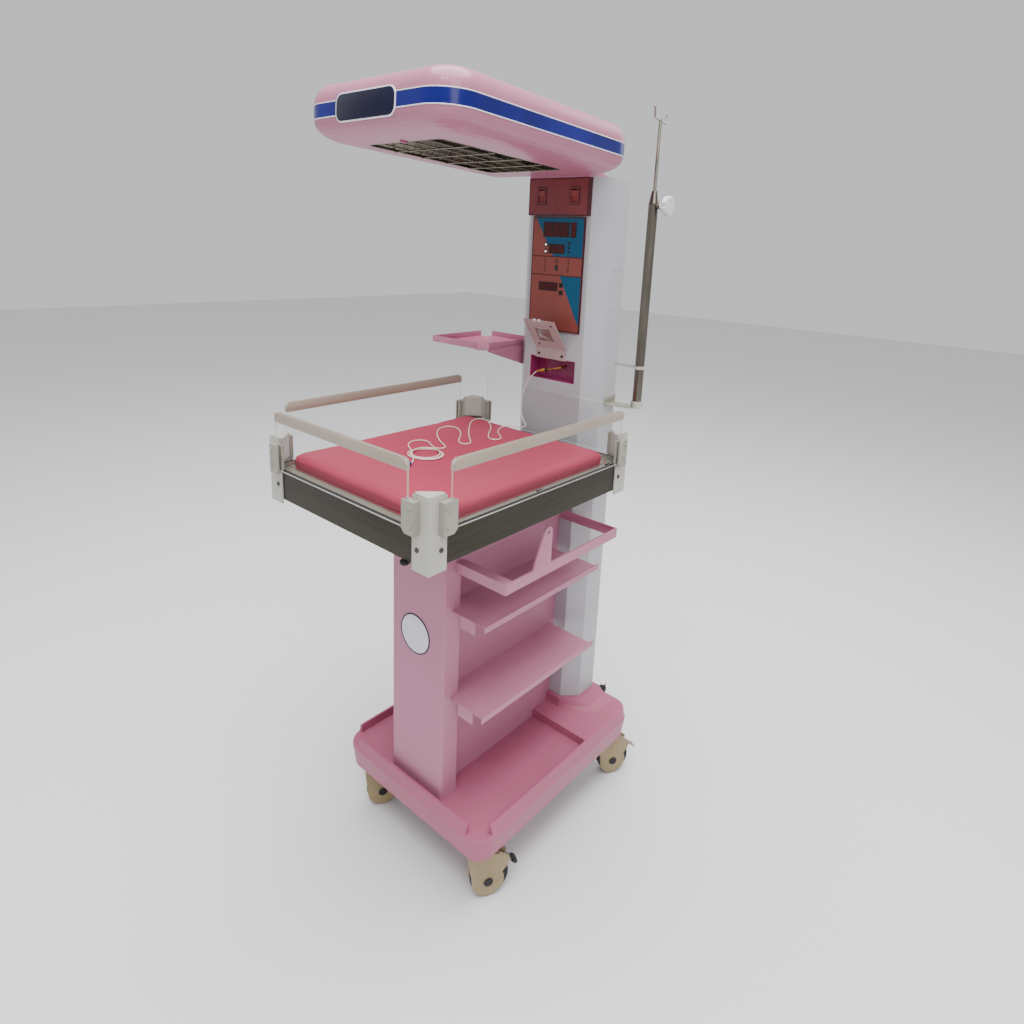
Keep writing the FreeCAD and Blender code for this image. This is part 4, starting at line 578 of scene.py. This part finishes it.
# ------------------------------------------------------------ cords
MAINS_R = 3.5
COIL = (-14.0, 672.0)
COIL_RADII = (45.5, 38.5, 31.5, 31.5, 38.5, 45.5, 45.5, 38.5, 31.5)
COIL_LAYERS = (3.7, 10.7, 17.7)
LAST_TURN = len(COIL_RADII) - 1
LAYER_TURNS = 3
COIL_START = 11
COIL_STEP = 22.5
COIL_SWEEP = 360 * LAST_TURN + 230
# degrees of a turn after which the cord changes to the next one, and how long that takes
CHANGE_START = 265
CHANGE_SWEEP = 95


def coil_point(sweep):
    """Point of the put-away coil after a sweep in degrees from where the cord enters it."""
    turn = min(int(sweep // 360), LAST_TURN)
    change = smooth((sweep - 360 * turn - CHANGE_START) / CHANGE_SWEEP)
    after = COIL_RADII[min(turn + 1, LAST_TURN)]
    r = COIL_RADII[turn] + (after - COIL_RADII[turn]) * change
    layer = turn // LAYER_TURNS
    next_layer = min((turn + 1) // LAYER_TURNS, len(COIL_LAYERS) - 1)
    z = COIL_LAYERS[layer] + (COIL_LAYERS[next_layer] - COIL_LAYERS[layer]) * change
    if next_layer != layer:
        r += (-3.2 if r < 38 else 3.0) * math.sin(math.pi * change)
    # the last turn climbs over the others on its way to the plug
    over = sweep - 360 * LAST_TURN
    z += smooth((over - 150) / 70) * 7.1
    r += smooth((over - 190) / 60) * 7.0
    t = math.radians(COIL_START + sweep)
    return at(COIL[0] + r * math.cos(t), COIL[1] + r * math.sin(t), z)


mains_route = [at(34, 469, 300), at(34, 497, 294), at(36, 525, 260), at(37, 533, 208),
               at(35, 535, 152), at(36, 545, 100), at(39, 569, 50), at(43, 607, 14),
               at(42, 647, MAINS_R + 0.2)]
mains_route += [coil_point(COIL_STEP * i) for i in range(int(COIL_SWEEP / COIL_STEP) + 1)]
for turn, reach, z in ((-104, 38.5, 24.8), (-72, 40, 25.4), (-36, 41, 26.8), (0, 41, 28.5),
                       (34, 38.5, 30.5)):
    t = math.radians(turn)
    mains_route.append(at(COIL[0] + reach * math.cos(t), COIL[1] + reach * math.sin(t), z))
mains = tube("mains_lead", mains_route, MAINS_R * MM, black_rubber, 5)
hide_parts("mains_cord", "mains_coil")

LEAD_R = 1.5
LEAD_Z = 1090.0 + LEAD_R + 0.2
LEAD_COIL = (-31.0, -108.0)
LEAD_TURNS = 3.12
LEAD_TURN_POINTS = 46
lead_route = [at(*p) for p in (
    (-46, 320, 1243), (-58, 314, 1232), (-68, 306, 1212), (-77, 300, 1182), (-81, 297, 1150),
    (-76, 293, 1122), (-62, 288, 1103), (-46, 280, 1096), (-34, 266, LEAD_Z + 2))]
lead_route += [at(x, y, LEAD_Z) for x, y in (
    (-40, 250), (-60, 244), (-78, 232), (-76, 206), (-56, 174), (-32, 152), (-10, 138),
    (2, 120), (-12, 102), (-36, 114), (-62, 146), (-92, 188), (-132, 222), (-166, 240),
    (-186, 226), (-178, 196), (-144, 154), (-106, 112), (-68, 76), (-38, 52), (-22, 34),
    (-36, 16), (-60, 28), (-94, 72), (-130, 104), (-164, 116), (-184, 100), (-178, 70),
    (-150, 36), (-114, 8), (-78, -14), (-48, -26), (-36, -44), (-54, -58), (-78, -48),
    (-104, -32), (-130, -36), (-138, -64), (-116, -92), (-90, -106), (-76, -114))]
for i in range(LEAD_TURN_POINTS):
    share = i / (LEAD_TURN_POINTS - 1)
    t = math.radians(206 + 360 * LEAD_TURNS * share)
    r = 43.5 - 7.5 * share + 2.6 * math.sin(2.1 * t + 0.8)
    x = LEAD_COIL[0] + r * math.cos(t) + 2.0 * math.sin(5 * share)
    y = LEAD_COIL[1] + r * math.sin(t) * 0.98 + 2.0 * share
    lead_route.append(at(x, y, LEAD_Z + 3.1 * smooth((share - 0.2) * 1.6)
                         + 1.2 * math.sin(9 * share) ** 2))
lead_route += [at(-22, -153, LEAD_Z + 3.0), at(-9, -166, LEAD_Z), at(-3, -180, LEAD_Z)]
lead = tube("probe_wire", lead_route, LEAD_R * MM, lead_white, 4)
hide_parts("probe_lead", "probe_coil")


# ------------------------------------------------------------ cord ends
def plug_pins():
    """Turned brass sleeves over the plug's two pins."""
    start, end = mains_route[-1], mains_route[-2]
    axis = (start - end).normalized()
    lift = Vector((0, 0, 1))
    swing = lift.rotation_difference(axis).to_matrix()
    bm = bmesh.new()
    for side in (-1, 1):
        foot = start + swing @ Vector((side * 9.5 * MM, 0, 0))
        place = Matrix.Translation(foot) @ swing.to_4x4() @ Matrix.Scale(MM, 4)
        add_lathe(bm, [(0, 40), (2.3, 40), (2.3, 57.6), (1.4, 59.2), (0, 59.2)], place, 20)
    return piece("plug_pins", bm, brass, slot="brass_plug")


pins = plug_pins()


def probe_sleeve():
    """Black collar between the probe plug's brass body and its wire tail."""
    head = at(-22.0, 331.0, 1250.0)
    axis = (at(-46, 320, 1243) - head).normalized()
    turn = Vector((0, 0, 1)).rotation_difference(axis).to_matrix().to_4x4()
    place = Matrix.Translation(head) @ turn @ Matrix.Scale(MM, 4)
    bm = bmesh.new()
    add_lathe(bm, [(2.6, -2.5), (5.2, -2.5), (6.1, -1.6), (6.1, 2.6), (5.6, 3.2), (2.6, 3.2)],
              place, 28)
    return piece("probe_sleeve", bm, black_plastic, slot="key_black")


sleeve = probe_sleeve()


# ------------------------------------------------------------ mattress
PAD_START_INSET = Vector((0.005, 0.005, 0.0))
PAD_TOP_INSET = Vector((0.0, 0.0, 0.003))
PAD_CORNER_R = 0.020
PAD_EDGE_R = 0.010
PAD_VOXEL = 0.0065
PAD_PRESSURE = 4.0
PAD_FRAMES = 16
PAD_SWELL = 0.006
PAD_BORDER = 0.07


def padded_mattress():
    """Foam pad: a slack skin blown up by cloth pressure, flat where it rests."""
    low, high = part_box("mattress")
    a, b = low + PAD_START_INSET, high - PAD_START_INSET - PAD_TOP_INSET
    bm = bmesh.new()
    bmesh.ops.create_cube(bm, size=1.0)
    size = b - a
    bmesh.ops.scale(bm, vec=size, verts=bm.verts)
    bmesh.ops.translate(bm, vec=(a + b) / 2, verts=bm.verts)
    upright = [e for e in bm.edges if abs(e.verts[0].co.z - e.verts[1].co.z) > 0.01]
    bmesh.ops.bevel(bm, geom=upright, offset=PAD_CORNER_R, segments=6, profile=0.5,
                    affect="EDGES")
    rims = [e for e in bm.edges if abs(e.verts[0].co.z - e.verts[1].co.z) < 1e-5
            and len(e.link_faces) == 2 and abs(e.calc_face_angle()) > 0.8]
    bmesh.ops.bevel(bm, geom=rims, offset=PAD_EDGE_R, segments=4, profile=0.5, affect="EDGES")
    pad = piece("mattress_pad", bm, mattress_skin, slot="mattress_cover", angle=80)
    remesh = pad.modifiers.new("skin", "REMESH")
    remesh.mode = "VOXEL"
    remesh.voxel_size = PAD_VOXEL
    apply_modifiers(pad)
    start = [v.co.copy() for v in pad.data.vertices]
    cloth = pad.modifiers.new("swell", "CLOTH")
    cloth.settings.use_pressure = True
    cloth.settings.uniform_pressure_force = PAD_PRESSURE
    cloth.settings.effector_weights.gravity = 0.0
    for number in range(1, PAD_FRAMES + 1):
        scene.frame_set(number)
    apply_modifiers(pad)
    scene.frame_set(1)
    ceiling = high.z
    for v, rest in zip(pad.data.vertices, start):
        move = v.co - rest
        if move.length > PAD_SWELL:
            move *= PAD_SWELL / move.length
        point = rest + move
        ripple = noise.noise(Vector((point.x * 9, point.y * 9, 0.3)))
        crease = noise.noise(Vector((point.x * 42 + point.y * 18, point.y * 7, 1.7)))
        inside = min(point.x - low.x, high.x - point.x, point.y - low.y, high.y - point.y)
        border = 1 - smooth(inside / PAD_BORDER)
        if point.z > (low.z + high.z) / 2:
            point.z -= 0.0006 * (1 + ripple) + 0.0010 * border * (1 + crease)
        else:
            point.z = max(point.z, low.z + 0.0003)
        point.z = min(point.z, ceiling)
        v.co = point
    subdivide = pad.modifiers.new("finer", "SUBSURF")
    subdivide.levels = 1
    apply_modifiers(pad)
    pad.data.polygons.foreach_set("use_smooth", [True] * len(pad.data.polygons))
    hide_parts("mattress")


def apply_modifiers(made):
    """Puts what the modifiers make into the mesh, and removes them."""
    depsgraph = bpy.context.evaluated_depsgraph_get()
    final = bpy.data.meshes.new_from_object(made.evaluated_get(depsgraph),
                                            preserve_all_data_layers=True,
                                            depsgraph=depsgraph)
    old = made.data
    made.modifiers.clear()
    made.data = final
    bpy.data.meshes.remove(old)


padded_mattress()


SEAM_BOX = (-257.2, 251.2, -343.2, 259.2)
SEAM_Z = 1063.0


def mattress_seam():
    """Sewn seam that runs round the pad's side, as a fine bead."""
    x0, x1, y0, y1 = SEAM_BOX
    bm = bmesh.new()
    path = rounded(x1 - x0, y1 - y0, 20.0, (x0 + x1) / 2, (y0 + y1) / 2, 8)
    section = [(0.9, 0.0), (0.45, 0.8), (-0.4, 0.8), (-0.9, 0.0), (-0.4, -0.8), (0.45, -0.8)]
    rings = []
    count = len(path)
    for i, (x, y) in enumerate(path):
        before, after = Vector(path[i - 1]), Vector(path[(i + 1) % count])
        along = (after - before).normalized()
        outward = Vector((along.y, -along.x))
        rings.append([bm.verts.new(at(x + outward.x * d, y + outward.y * d, SEAM_Z + h))
                      for d, h in section])
    close_rings(bm, rings)
    piece("mattress_seam", bm, mattress_skin, slot="mattress_cover")


mattress_seam()


# ------------------------------------------------------------ bed panels
PANEL_TOP = 1204.0
PANEL_BOTTOM = 1066.0
RAIL_HEIGHT = 23.0
RAIL_END_R = 12.0
SIDE_PANEL_HALF = 289.0
END_PANEL_HALF = 227.0
PANEL_OUT = 9.0


def panel_outline(half, low, high):
    """Outline with square feet and rounded upper corners."""
    points = [(-half, low), (half, low)]
    r, steps = RAIL_END_R, 8
    for side, start in ((1, 0), (-1, 90)):
        for i in range(steps + 1):
            t = math.radians(start + 90 * i / steps)
            points.append((side * (half - r) + r * math.cos(t), high - r + r * math.sin(t)))
    return points


def bed_panel(node, body, half, top, place, railed=True):
    """Clear sheet with polished edges, whose edge faces carry a painted highlight (pale, half
    opaque), and, on three sides, an opaque rail along the top.
    """
    bm = bmesh.new()
    add_slab(bm, panel_outline(half, PANEL_BOTTOM, top), place, -2.5, 2.5, 0.4)
    clear = piece(node + "_sheet", bm, acrylic, body=body, slot="clear_sheet")
    clear.data.materials.append(acrylic_edge)
    face = (place.to_3x3() @ Vector((0, 0, 1))).normalized()
    for polygon in clear.data.polygons:
        if abs(polygon.normal.dot(face)) < 0.5:
            polygon.material_index = 1
    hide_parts(node)
    if railed:
        bm = bmesh.new()
        for low, high in ((-4.5, -2.55), (2.55, 4.5)):
            outline = panel_outline(half - 0.2, top + 2 - RAIL_HEIGHT, top + 2)
            add_slab(bm, outline, place, low, high, 0.7)
        cap = [(-half + RAIL_END_R, top + 0.1), (half - RAIL_END_R, top + 0.1),
               (half - RAIL_END_R, top + 2), (-half + RAIL_END_R, top + 2)]
        add_slab(bm, cap, place, -3.4, 3.4, 0.0)
        piece(node + "_rail", bm, rail_white, body=body, slot="holder_white")


MID_Y = (BED_FRONT + BED_REAR) / 2
for node, x in (("right_panel", BED_X + PANEL_OUT), ("left_panel", -BED_X - PANEL_OUT)):
    bed_panel(node, node, SIDE_PANEL_HALF, PANEL_TOP - 2,
              plane(x, MID_Y, 0, (0, 1, 0), (0, 0, 1)))
bed_panel("front_panel", "front_panel", END_PANEL_HALF, PANEL_TOP - 2,
          facing(0, BED_FRONT - PANEL_OUT, 0))
bed_panel("rear_panel", "root", END_PANEL_HALF, 1197.0, facing(0, BED_REAR + PANEL_OUT, 0),
          railed=False)


# ------------------------------------------------------------ bed details
def apron_gap_shade():
    """Black strip along the apron's top edge: painted shade of the gap between the apron and the
    tray's rim.
    """
    bm = bmesh.new()
    inset, z = 3.75, 1062.4
    for side, y in ((-1, BED_FRONT + inset), (1, BED_REAR - inset)):
        place = plane(side * (BED_X - inset), 0, z, (1, 0, 0), (0, 1, 0))
        add_slab(bm, rounded(3.0, 580, 0.5, 0, MID_Y, 2), place, 0, 2.4, 0.7)
        place = plane(0, y, z, (1, 0, 0), (0, 1, 0))
        add_slab(bm, rounded(456, 3.0, 0.5, 0, 0, 2), place, 0, 2.4, 0.7)
    piece("apron_gap_shade", bm, black_rubber, slot="black_cord")


def apron_lump():
    """Black clamp screw under the apron's near corner."""
    place = plane(201, -366, 991, (1, 0, 0), (0, -1, 0))
    profile = [(0, 0), (4, 0), (4, 3), (9, 3.4), (10, 5), (10, 9), (8.5, 11), (3, 11.4),
               (2.4, 14), (0, 14)]
    lathe("apron_clamp", profile, place, black_plastic, 28, slot="key_black")


def ledge_clips():
    """Two small dark clips on the right-hand ledge, between pad and apron."""
    bm = bmesh.new()
    for y in (-39.0, 232.0):
        place = plane(262, y, 1062, (0, 1, 0), (-1, 0, 0))
        add_slab(bm, rounded(9, 5, 1.2), place, 0, 2.2, 0.5)
        add_slab(bm, rounded(5, 3, 1.0, 12, 1), place, 0, 1.6, 0.4)
    piece("ledge_clips", bm, black_plastic, slot="key_black")


def screw_crosses():
    """Cross recesses in the pan heads, as dark inlays: painted shade in the hollows."""
    bm = bmesh.new()
    spots = []
    proud, inset, z = 2.6, 32, 1025
    for side in (-1, 1):
        for y, inward in ((BED_FRONT, 1), (BED_REAR, -1)):
            spots.append(plane(side * (BED_X + proud), y + inward * inset, z,
                               (0, side, 0), (0, 0, 1)))
            spots.append(plane(side * (BED_X - inset), y - inward * proud, z,
                               (inward, 0, 0), (0, 0, 1)))
    spots += [facing(x, COLUMN_FRONT - 4.6, 1295) for x in (-46, 34)]
    for place in spots:
        twist = place @ Matrix.Rotation(random.uniform(0, 1.5), 4, "Z")
        arm, half = 2.7, 0.45
        cross = [(arm, -half), (arm, half), (half, half), (half, arm), (-half, arm),
                 (-half, half), (-arm, half), (-arm, -half), (-half, -half), (-half, -arm),
                 (half, -arm), (half, -half)]
        add_slab(bm, cross, twist, -0.4, 0.06, 0.0)
    piece("screw_crosses", bm, black_plastic, slot="key_black")


apron_gap_shade()
apron_lump()
ledge_clips()
screw_crosses()


# ------------------------------------------------------------ hood details
def tipped():
    """Matrix that tips a level hood piece nose-up, as the drawing does."""
    pivot = at(0, *HOOD_PIVOT)
    aside = Matrix.Translation((HOOD_MID_X * MM, 0, 0))
    tip = Matrix.Rotation(-HOOD_TILT, 4, "X")
    return aside @ Matrix.Translation(pivot) @ tip @ Matrix.Translation(-pivot)


TRIM_HALF_X = 228.6
TRIM_FRONT_Y = -292.6
TRIM_REAR_Y = 327.6
TRIM_FRONT_R = 72.6
TRIM_REAR_R = 80.6


def hood_trim():
    """Fine white edges above and below the blue stripe."""
    half_x, y0, y1 = TRIM_HALF_X, TRIM_FRONT_Y, TRIM_REAR_Y
    path = []
    for sx, y, r, start in ((1, y0, TRIM_FRONT_R, -90), (1, y1, TRIM_REAR_R, 0),
                            (-1, y1, TRIM_REAR_R, 90), (-1, y0, TRIM_FRONT_R, 180)):
        for i in range(19):
            t = math.radians(start + 5 * i)
            centre = (sx * (half_x - r), y + r if y == y0 else y - r)
            path.append((centre[0] + r * math.cos(t), centre[1] + r * math.sin(t),
                         math.cos(t), math.sin(t)))
    bm = bmesh.new()
    tip = tipped()
    for z in (STRIPE_Z + STRIPE_HALF, STRIPE_Z - STRIPE_HALF):
        section = [(-1.5, -1.1), (0.25, -1.1), (0.6, -0.7), (0.6, 0.7), (0.25, 1.1),
                   (-1.5, 1.1)]
        rings = [[bm.verts.new(tip @ at(x + nx * d, y + ny * d, z + h)) for d, h in section]
                 for x, y, nx, ny in path]
        close_rings(bm, rings)
    piece("hood_trim", bm, trim_white, slot="knob_white", angle=50)


def hood_badge():
    """Bare navy plate with a white border on the hood's nose."""
    place = tipped() @ facing(-4.0, TRIM_FRONT_Y, STRIPE_Z - 1)
    slab("badge_border", rounded(187, 56, 19, steps=8), place, -1.0, 1.5, trim_white, 0.6,
         slot="knob_white")
    slab("badge_plate", rounded(181, 50, 16, steps=8), place, 0.5, 2.1, badge_navy, 0.5,
         slot="stripe_blue")


def guard_clip():
    """Small clip with a button that holds the guard's rim."""
    place = tipped() @ plane(14, -208, 1757.4, (1, 0, 0), (0, -1, 0))
    bm = bmesh.new()
    add_slab(bm, rounded(9, 16, 2.5), place, -0.4, 2.2, 0.6)
    add_lathe(bm, [(0, 4.2), (2.4, 3.9), (3.2, 3.0), (3.2, 2.2)], place, 20)
    piece("guard_clip", bm, pink_paint, slot="pink_paint")


hood_trim()
hood_badge()
guard_clip()


# ------------------------------------------------------------ controller details
DIGIT_FRONT = 321.5
SEGMENTS = ((0, 1, 1), (0, 0, 1), (0, -1, 1), (-0.5, 0.5, 0), (0.5, 0.5, 0),
            (-0.5, -0.5, 0), (0.5, -0.5, 0))


def digits(name, centre_x, centre_z, count, pitch, height):
    """Dim seven-segment figures behind a display window."""
    bm = bmesh.new()
    place = facing(0, DIGIT_FRONT, 0)
    wide = height * 0.52
    thick = height * 0.085
    for i in range(count):
        cx = centre_x + (i - (count - 1) / 2) * pitch
        for u, v, level in SEGMENTS:
            x = cx + u * wide + (v * height * 0.04)
            z = centre_z + v * height / 2
            half = (wide if level else height / 2) / 2 - thick * 0.7
            flat = half - thick
            if level:
                outline = [(x - half, z), (x - flat, z + thick), (x + flat, z + thick),
                           (x + half, z), (x + flat, z - thick), (x - flat, z - thick)]
            else:
                outline = [(x, z + half), (x + thick, z + flat), (x + thick, z - flat),
                           (x, z - half), (x - thick, z - flat), (x - thick, z + flat)]
            add_slab(bm, outline, place, -0.2, 0.12, 0.0)
        add_slab(bm, rounded(2 * thick, 2 * thick, thick * 0.6, cx + wide * 0.78,
                             centre_z - height / 2, 3), place, -0.2, 0.12, 0.0)
    piece(name, bm, segment_red, slot="window_red")


def bar_lamps():
    """Column of small bars in the narrow window beside the main display."""
    bm = bmesh.new()
    bars = [(51.5, 1616.5 + 4.3 * i, 9, 2.6) for i in range(8)]
    add_bars(bm, bars, facing(0, DIGIT_FRONT, 0), -0.2, 0.12, 0.4, 0.0)
    piece("bar_lamps", bm, segment_red, slot="window_red")


def lit_buttons():
    """Two lit lenses in dark rims beside the lower window."""
    rims, lenses = bmesh.new(), bmesh.new()
    for z in (1592.0, 1574.0):
        place = facing(-38, PLATE_FRONT, z)
        add_slab(rims, rounded(10, 12, 2.2), place, -0.2, 1.0, 0.4)
        add_lathe(lenses, [(0, 2.0), (1.8, 1.8), (2.9, 1.3), (3.2, 0.8)], place, 24)
    piece("lit_button_rims", rims, black_plastic, slot="key_black")
    piece("lit_button_lenses", lenses, lamp_lit, slot="knob_white")


def membrane_keys():
    """Small raised keys, frames of the two push keys, and two rows of tiny lamps."""
    bm = bmesh.new()
    place = facing(0, PLATE_FRONT, 0)
    for z in (1597.0, 1585.5, 1574.0):
        add_slab(bm, rounded(7.5, 6.5, 1.4, 39, z), place, -0.2, 0.9, 0.4)
    for z in (1487.0, 1467.0):
        add_bars(bm, box_bars(20, z, 5.4, 5.4, 12, 12, 1.2), place, -0.2, 0.7, 0.4, 0.2)
    piece("membrane_keys", bm, black_plastic, slot="key_black")
    bm = bmesh.new()
    for x in (-38.5, 40.0):
        for i in range(5):
            add_lathe(bm, [(0, 1.3), (1.1, 1.1), (1.9, 0.5), (2.0, -0.2)],
                      facing(x, PLATE_FRONT, 1524 + 7.4 * i), 20)
    piece("row_lamps", bm, window_red, slot="window_red")


def sensor_sign():
    """Plain pictogram between the lamp rows: a ring over a drop."""
    bm = bmesh.new()
    add_lathe(bm, [(3.6, -0.2), (3.6, 0.5), (5.4, 0.5), (5.4, -0.2)],
              facing(1, PLATE_FRONT, 1550), 28)
    drop = []
    for i in range(28):
        t = 2 * math.pi * i / 28
        length = 5.4 if math.cos(t) > 0 else 5.4 * 2.2
        drop.append((1 + 5.0 * math.sin(t), 1529.5 - length * math.cos(t)))
    add_slab(bm, drop, facing(0, PLATE_FRONT, 0), -0.2, 0.5, 0.2)
    piece("sensor_sign", bm, black_plastic, slot="key_black")


digits("main_digits", -5.5, 1631.5, 3, 26.0, 25.0)
digits("set_digits", -1.5, 1581.5, 3, 15.0, 15.0)
digits("timer_digits", -24.0, 1481.5, 4, 14.5, 14.5)
bar_lamps()
lit_buttons()
membrane_keys()
sensor_sign()


def switch_marks():
    """Raised bead round each rocker's bezel."""
    bm = bmesh.new()
    for x in (-54.0, 54.0):
        add_bars(bm, box_bars(x, 1717, 15.6, 21.6, 31, 43, 1.4), facing(0, SWITCH_FRONT, 0),
                 -0.2, 0.9, 0.5, 0.3)
    piece("bezel_beads", bm, black_plastic, slot="key_black")


switch_marks()


# ------------------------------------------------------------ chart plate and pocket
def chart_place():
    """Plane on the tilted card plate's face, its origin at the middle of the plate."""
    foot = Vector((0, 326.0, 1312.0))
    head = Vector((0, 264.0, 1393.0))
    up = (head - foot).normalized()
    middle = (foot + head) / 2
    return plane(-6.0, middle.y, middle.z, (1, 0, 0), up)


def chart_details():
    """Pane, frame, tabs and screws of the tilted card plate."""
    place = chart_place()
    slab("card_pane", rounded(48, 44, 1.5), place, -0.9, -0.3, card_window, 0.2,
         slot="card_plate")
    bm = bmesh.new()
    add_bars(bm, box_bars(0, 0, 26.2, 24.2, 54, 51, 2.6), place, -0.2, 0.9, 0.8, 0.35)
    piece("card_frame", bm, card_white, slot="card_plate")
    bm = bmesh.new()
    for u in (-14.0, 2.0):
        add_slab(bm, rounded(9, 7, 2.0, u, 50.0), place, -3.2, 1.4, 0.5)
    piece("card_tabs", bm, trim_white, slot="knob_white")
    bm = bmesh.new()
    for u, v in ((36.0, 35.0), (-34.0, -36.0)):
        spot = place @ Matrix.Translation((u, v, 0))
        add_lathe(bm, [(0, 1.9), (1.8, 1.8), (3.1, 1.1), (3.4, 0)], spot, 20)
    piece("card_screws", bm, screw_steel, slot="screw_steel")


chart_details()


# ------------------------------------------------------------ pedestal plate, base, castors
def pedestal_plate():
    """Bare round plate: a pale disc in a dark rolled rim."""
    place = facing(-6, -158, 644)
    lathe("round_rim", [(0, -0.1), (53, -0.1), (53, 0.9), (52.2, 1.7), (50.6, 1.7), (49.8, 0.9),
                        (0, 0.9)], place, badge_navy, 72, slot="key_black")
    lathe("round_plate", [(0, 1.55), (40, 1.5), (48.6, 1.3), (49.6, 0.9), (49.6, 0.5), (0, 0.5)],
          place, trim_white, 72, slot="knob_white")


UP = Vector((0, 0, 1))
OUT = Vector((math.cos(TRAIL_ANGLE), math.sin(TRAIL_ANGLE), 0))
SIDE = Vector((-OUT.y, OUT.x, 0))


def castor_details(corner):
    """Hub caps on the cheeks' bosses."""
    x, y = STEMS[corner]
    bm = bmesh.new()
    for way in (-1, 1):
        centre = Vector((x, y, 46)) + OUT * 25 + SIDE * way * 20.5
        place = plane(*centre, UP, SIDE.cross(UP) * way)
        add_lathe(bm, [(0, 0.9), (5.5, 0.9), (6.2, 1.6), (10.6, 1.9), (12.0, 1.1), (12.2, -0.4)],
                  place, 36)
    piece("castor_caps_" + corner, bm, black_plastic, body="castor_" + corner,
          slot="key_black")


def pedal_tip():
    """Black sleeve on the near pedal's tread."""
    x, y = STEMS["front_right"]
    down = math.atan2(-32.0, 43.0)
    along = OUT * math.cos(down) + UP * math.sin(down)
    centre = Vector((x, y, 72)) + OUT * 103 - along * 9
    slab("pedal_sleeve", rounded(17, 25, 4.5), plane(*centre, along, SIDE), -3.2, 3.2,
         black_rubber, 1.3, body="pedal_front_right", slot="black_cord")


pedestal_plate()
for corner in STEMS:
    castor_details(corner)
pedal_tip()


# ------------------------------------------------------------ pole, rear cover
def pole_washer():
    """Black washer between the pole and its clamp knob."""
    place = plane(236.0, 430, 1698, (0, 1, 0), (0, 0, 1))
    profile = [(6.05, 0), (8.2, 0), (8.8, 0.6), (8.8, 1.8), (8.2, 2.3), (6.05, 2.3)]
    lathe("pole_washer", profile, place, black_plastic, 28, slot="key_black")


def rear_details():
    """Louvres and cover screws on the column's back."""
    bm = bmesh.new()
    place = plane(0, 441, 0, (-1, 0, 0), (0, 0, 1))
    for i in range(10):
        z = 1480 + 16 * i
        add_slab(bm, rounded(120, 6, 2.8, 0, z), place, -0.2, 2.4, 1.1)
    piece("rear_louvres", bm, white_paint, slot="white_paint")
    bm = bmesh.new()
    for u in (-120, 120):
        for z in (290, 640, 1010, 1380, 1740):
            spot = place @ Matrix.Translation((u, z, 0))
            add_lathe(bm, [(0, 2.2), (2.2, 2.0), (4.0, 1.2), (4.4, 0)], spot, 20)
    piece("cover_screws", bm, screw_steel, slot="screw_steel")


pole_washer()
rear_details()


# ------------------------------------------------------------ floor and light
def make_floor():
    """Plain pale floor."""
    bm = bmesh.new()
    bmesh.ops.create_grid(bm, x_segments=2, y_segments=2, size=14.0)
    mesh = bpy.data.meshes.new("floor")
    bm.to_mesh(mesh)
    bm.free()
    mesh.materials.append(floor_pale)
    floor = bpy.data.objects.new("floor", mesh)
    floor.location.z = -0.0005
    scene.collection.objects.link(floor)


def area_light(name, place, target, size, power):
    """Round soft light at a place, turned to its target."""
    data = bpy.data.lights.new(name, "AREA")
    data.shape = "DISK"
    data.size = size
    data.energy = power
    light = bpy.data.objects.new(name, data)
    light.location = place
    aim = Vector(target) - Vector(place)
    light.rotation_euler = aim.to_track_quat("-Z", "Y").to_euler()
    scene.collection.objects.link(light)


make_floor()
area_light("overhead", (0.3, -0.2, 4.6), (0, 0, 0), 4.0, 340)
area_light("key", (2.6, -1.6, 3.2), (0, 0, 1.1), 1.8, 38)
area_light("rim", (0.6, 3.0, 3.0), (0, 0, 1.2), 2.0, 18)
area_light("ceiling_lamp_a", (0.75, -1.9, 3.3), (0.2, -0.3, 1.8), 0.14, 8)
area_light("ceiling_lamp_b", (1.15, -1.6, 3.3), (0.2, -0.3, 1.8), 0.14, 8)

world = bpy.data.worlds.new("studio")
world.use_nodes = True
world.node_tree.nodes["Background"].inputs["Color"].default_value = (0.97, 0.975, 1.0, 1)
world.node_tree.nodes["Background"].inputs["Strength"].default_value = 0.74
scene.world = world
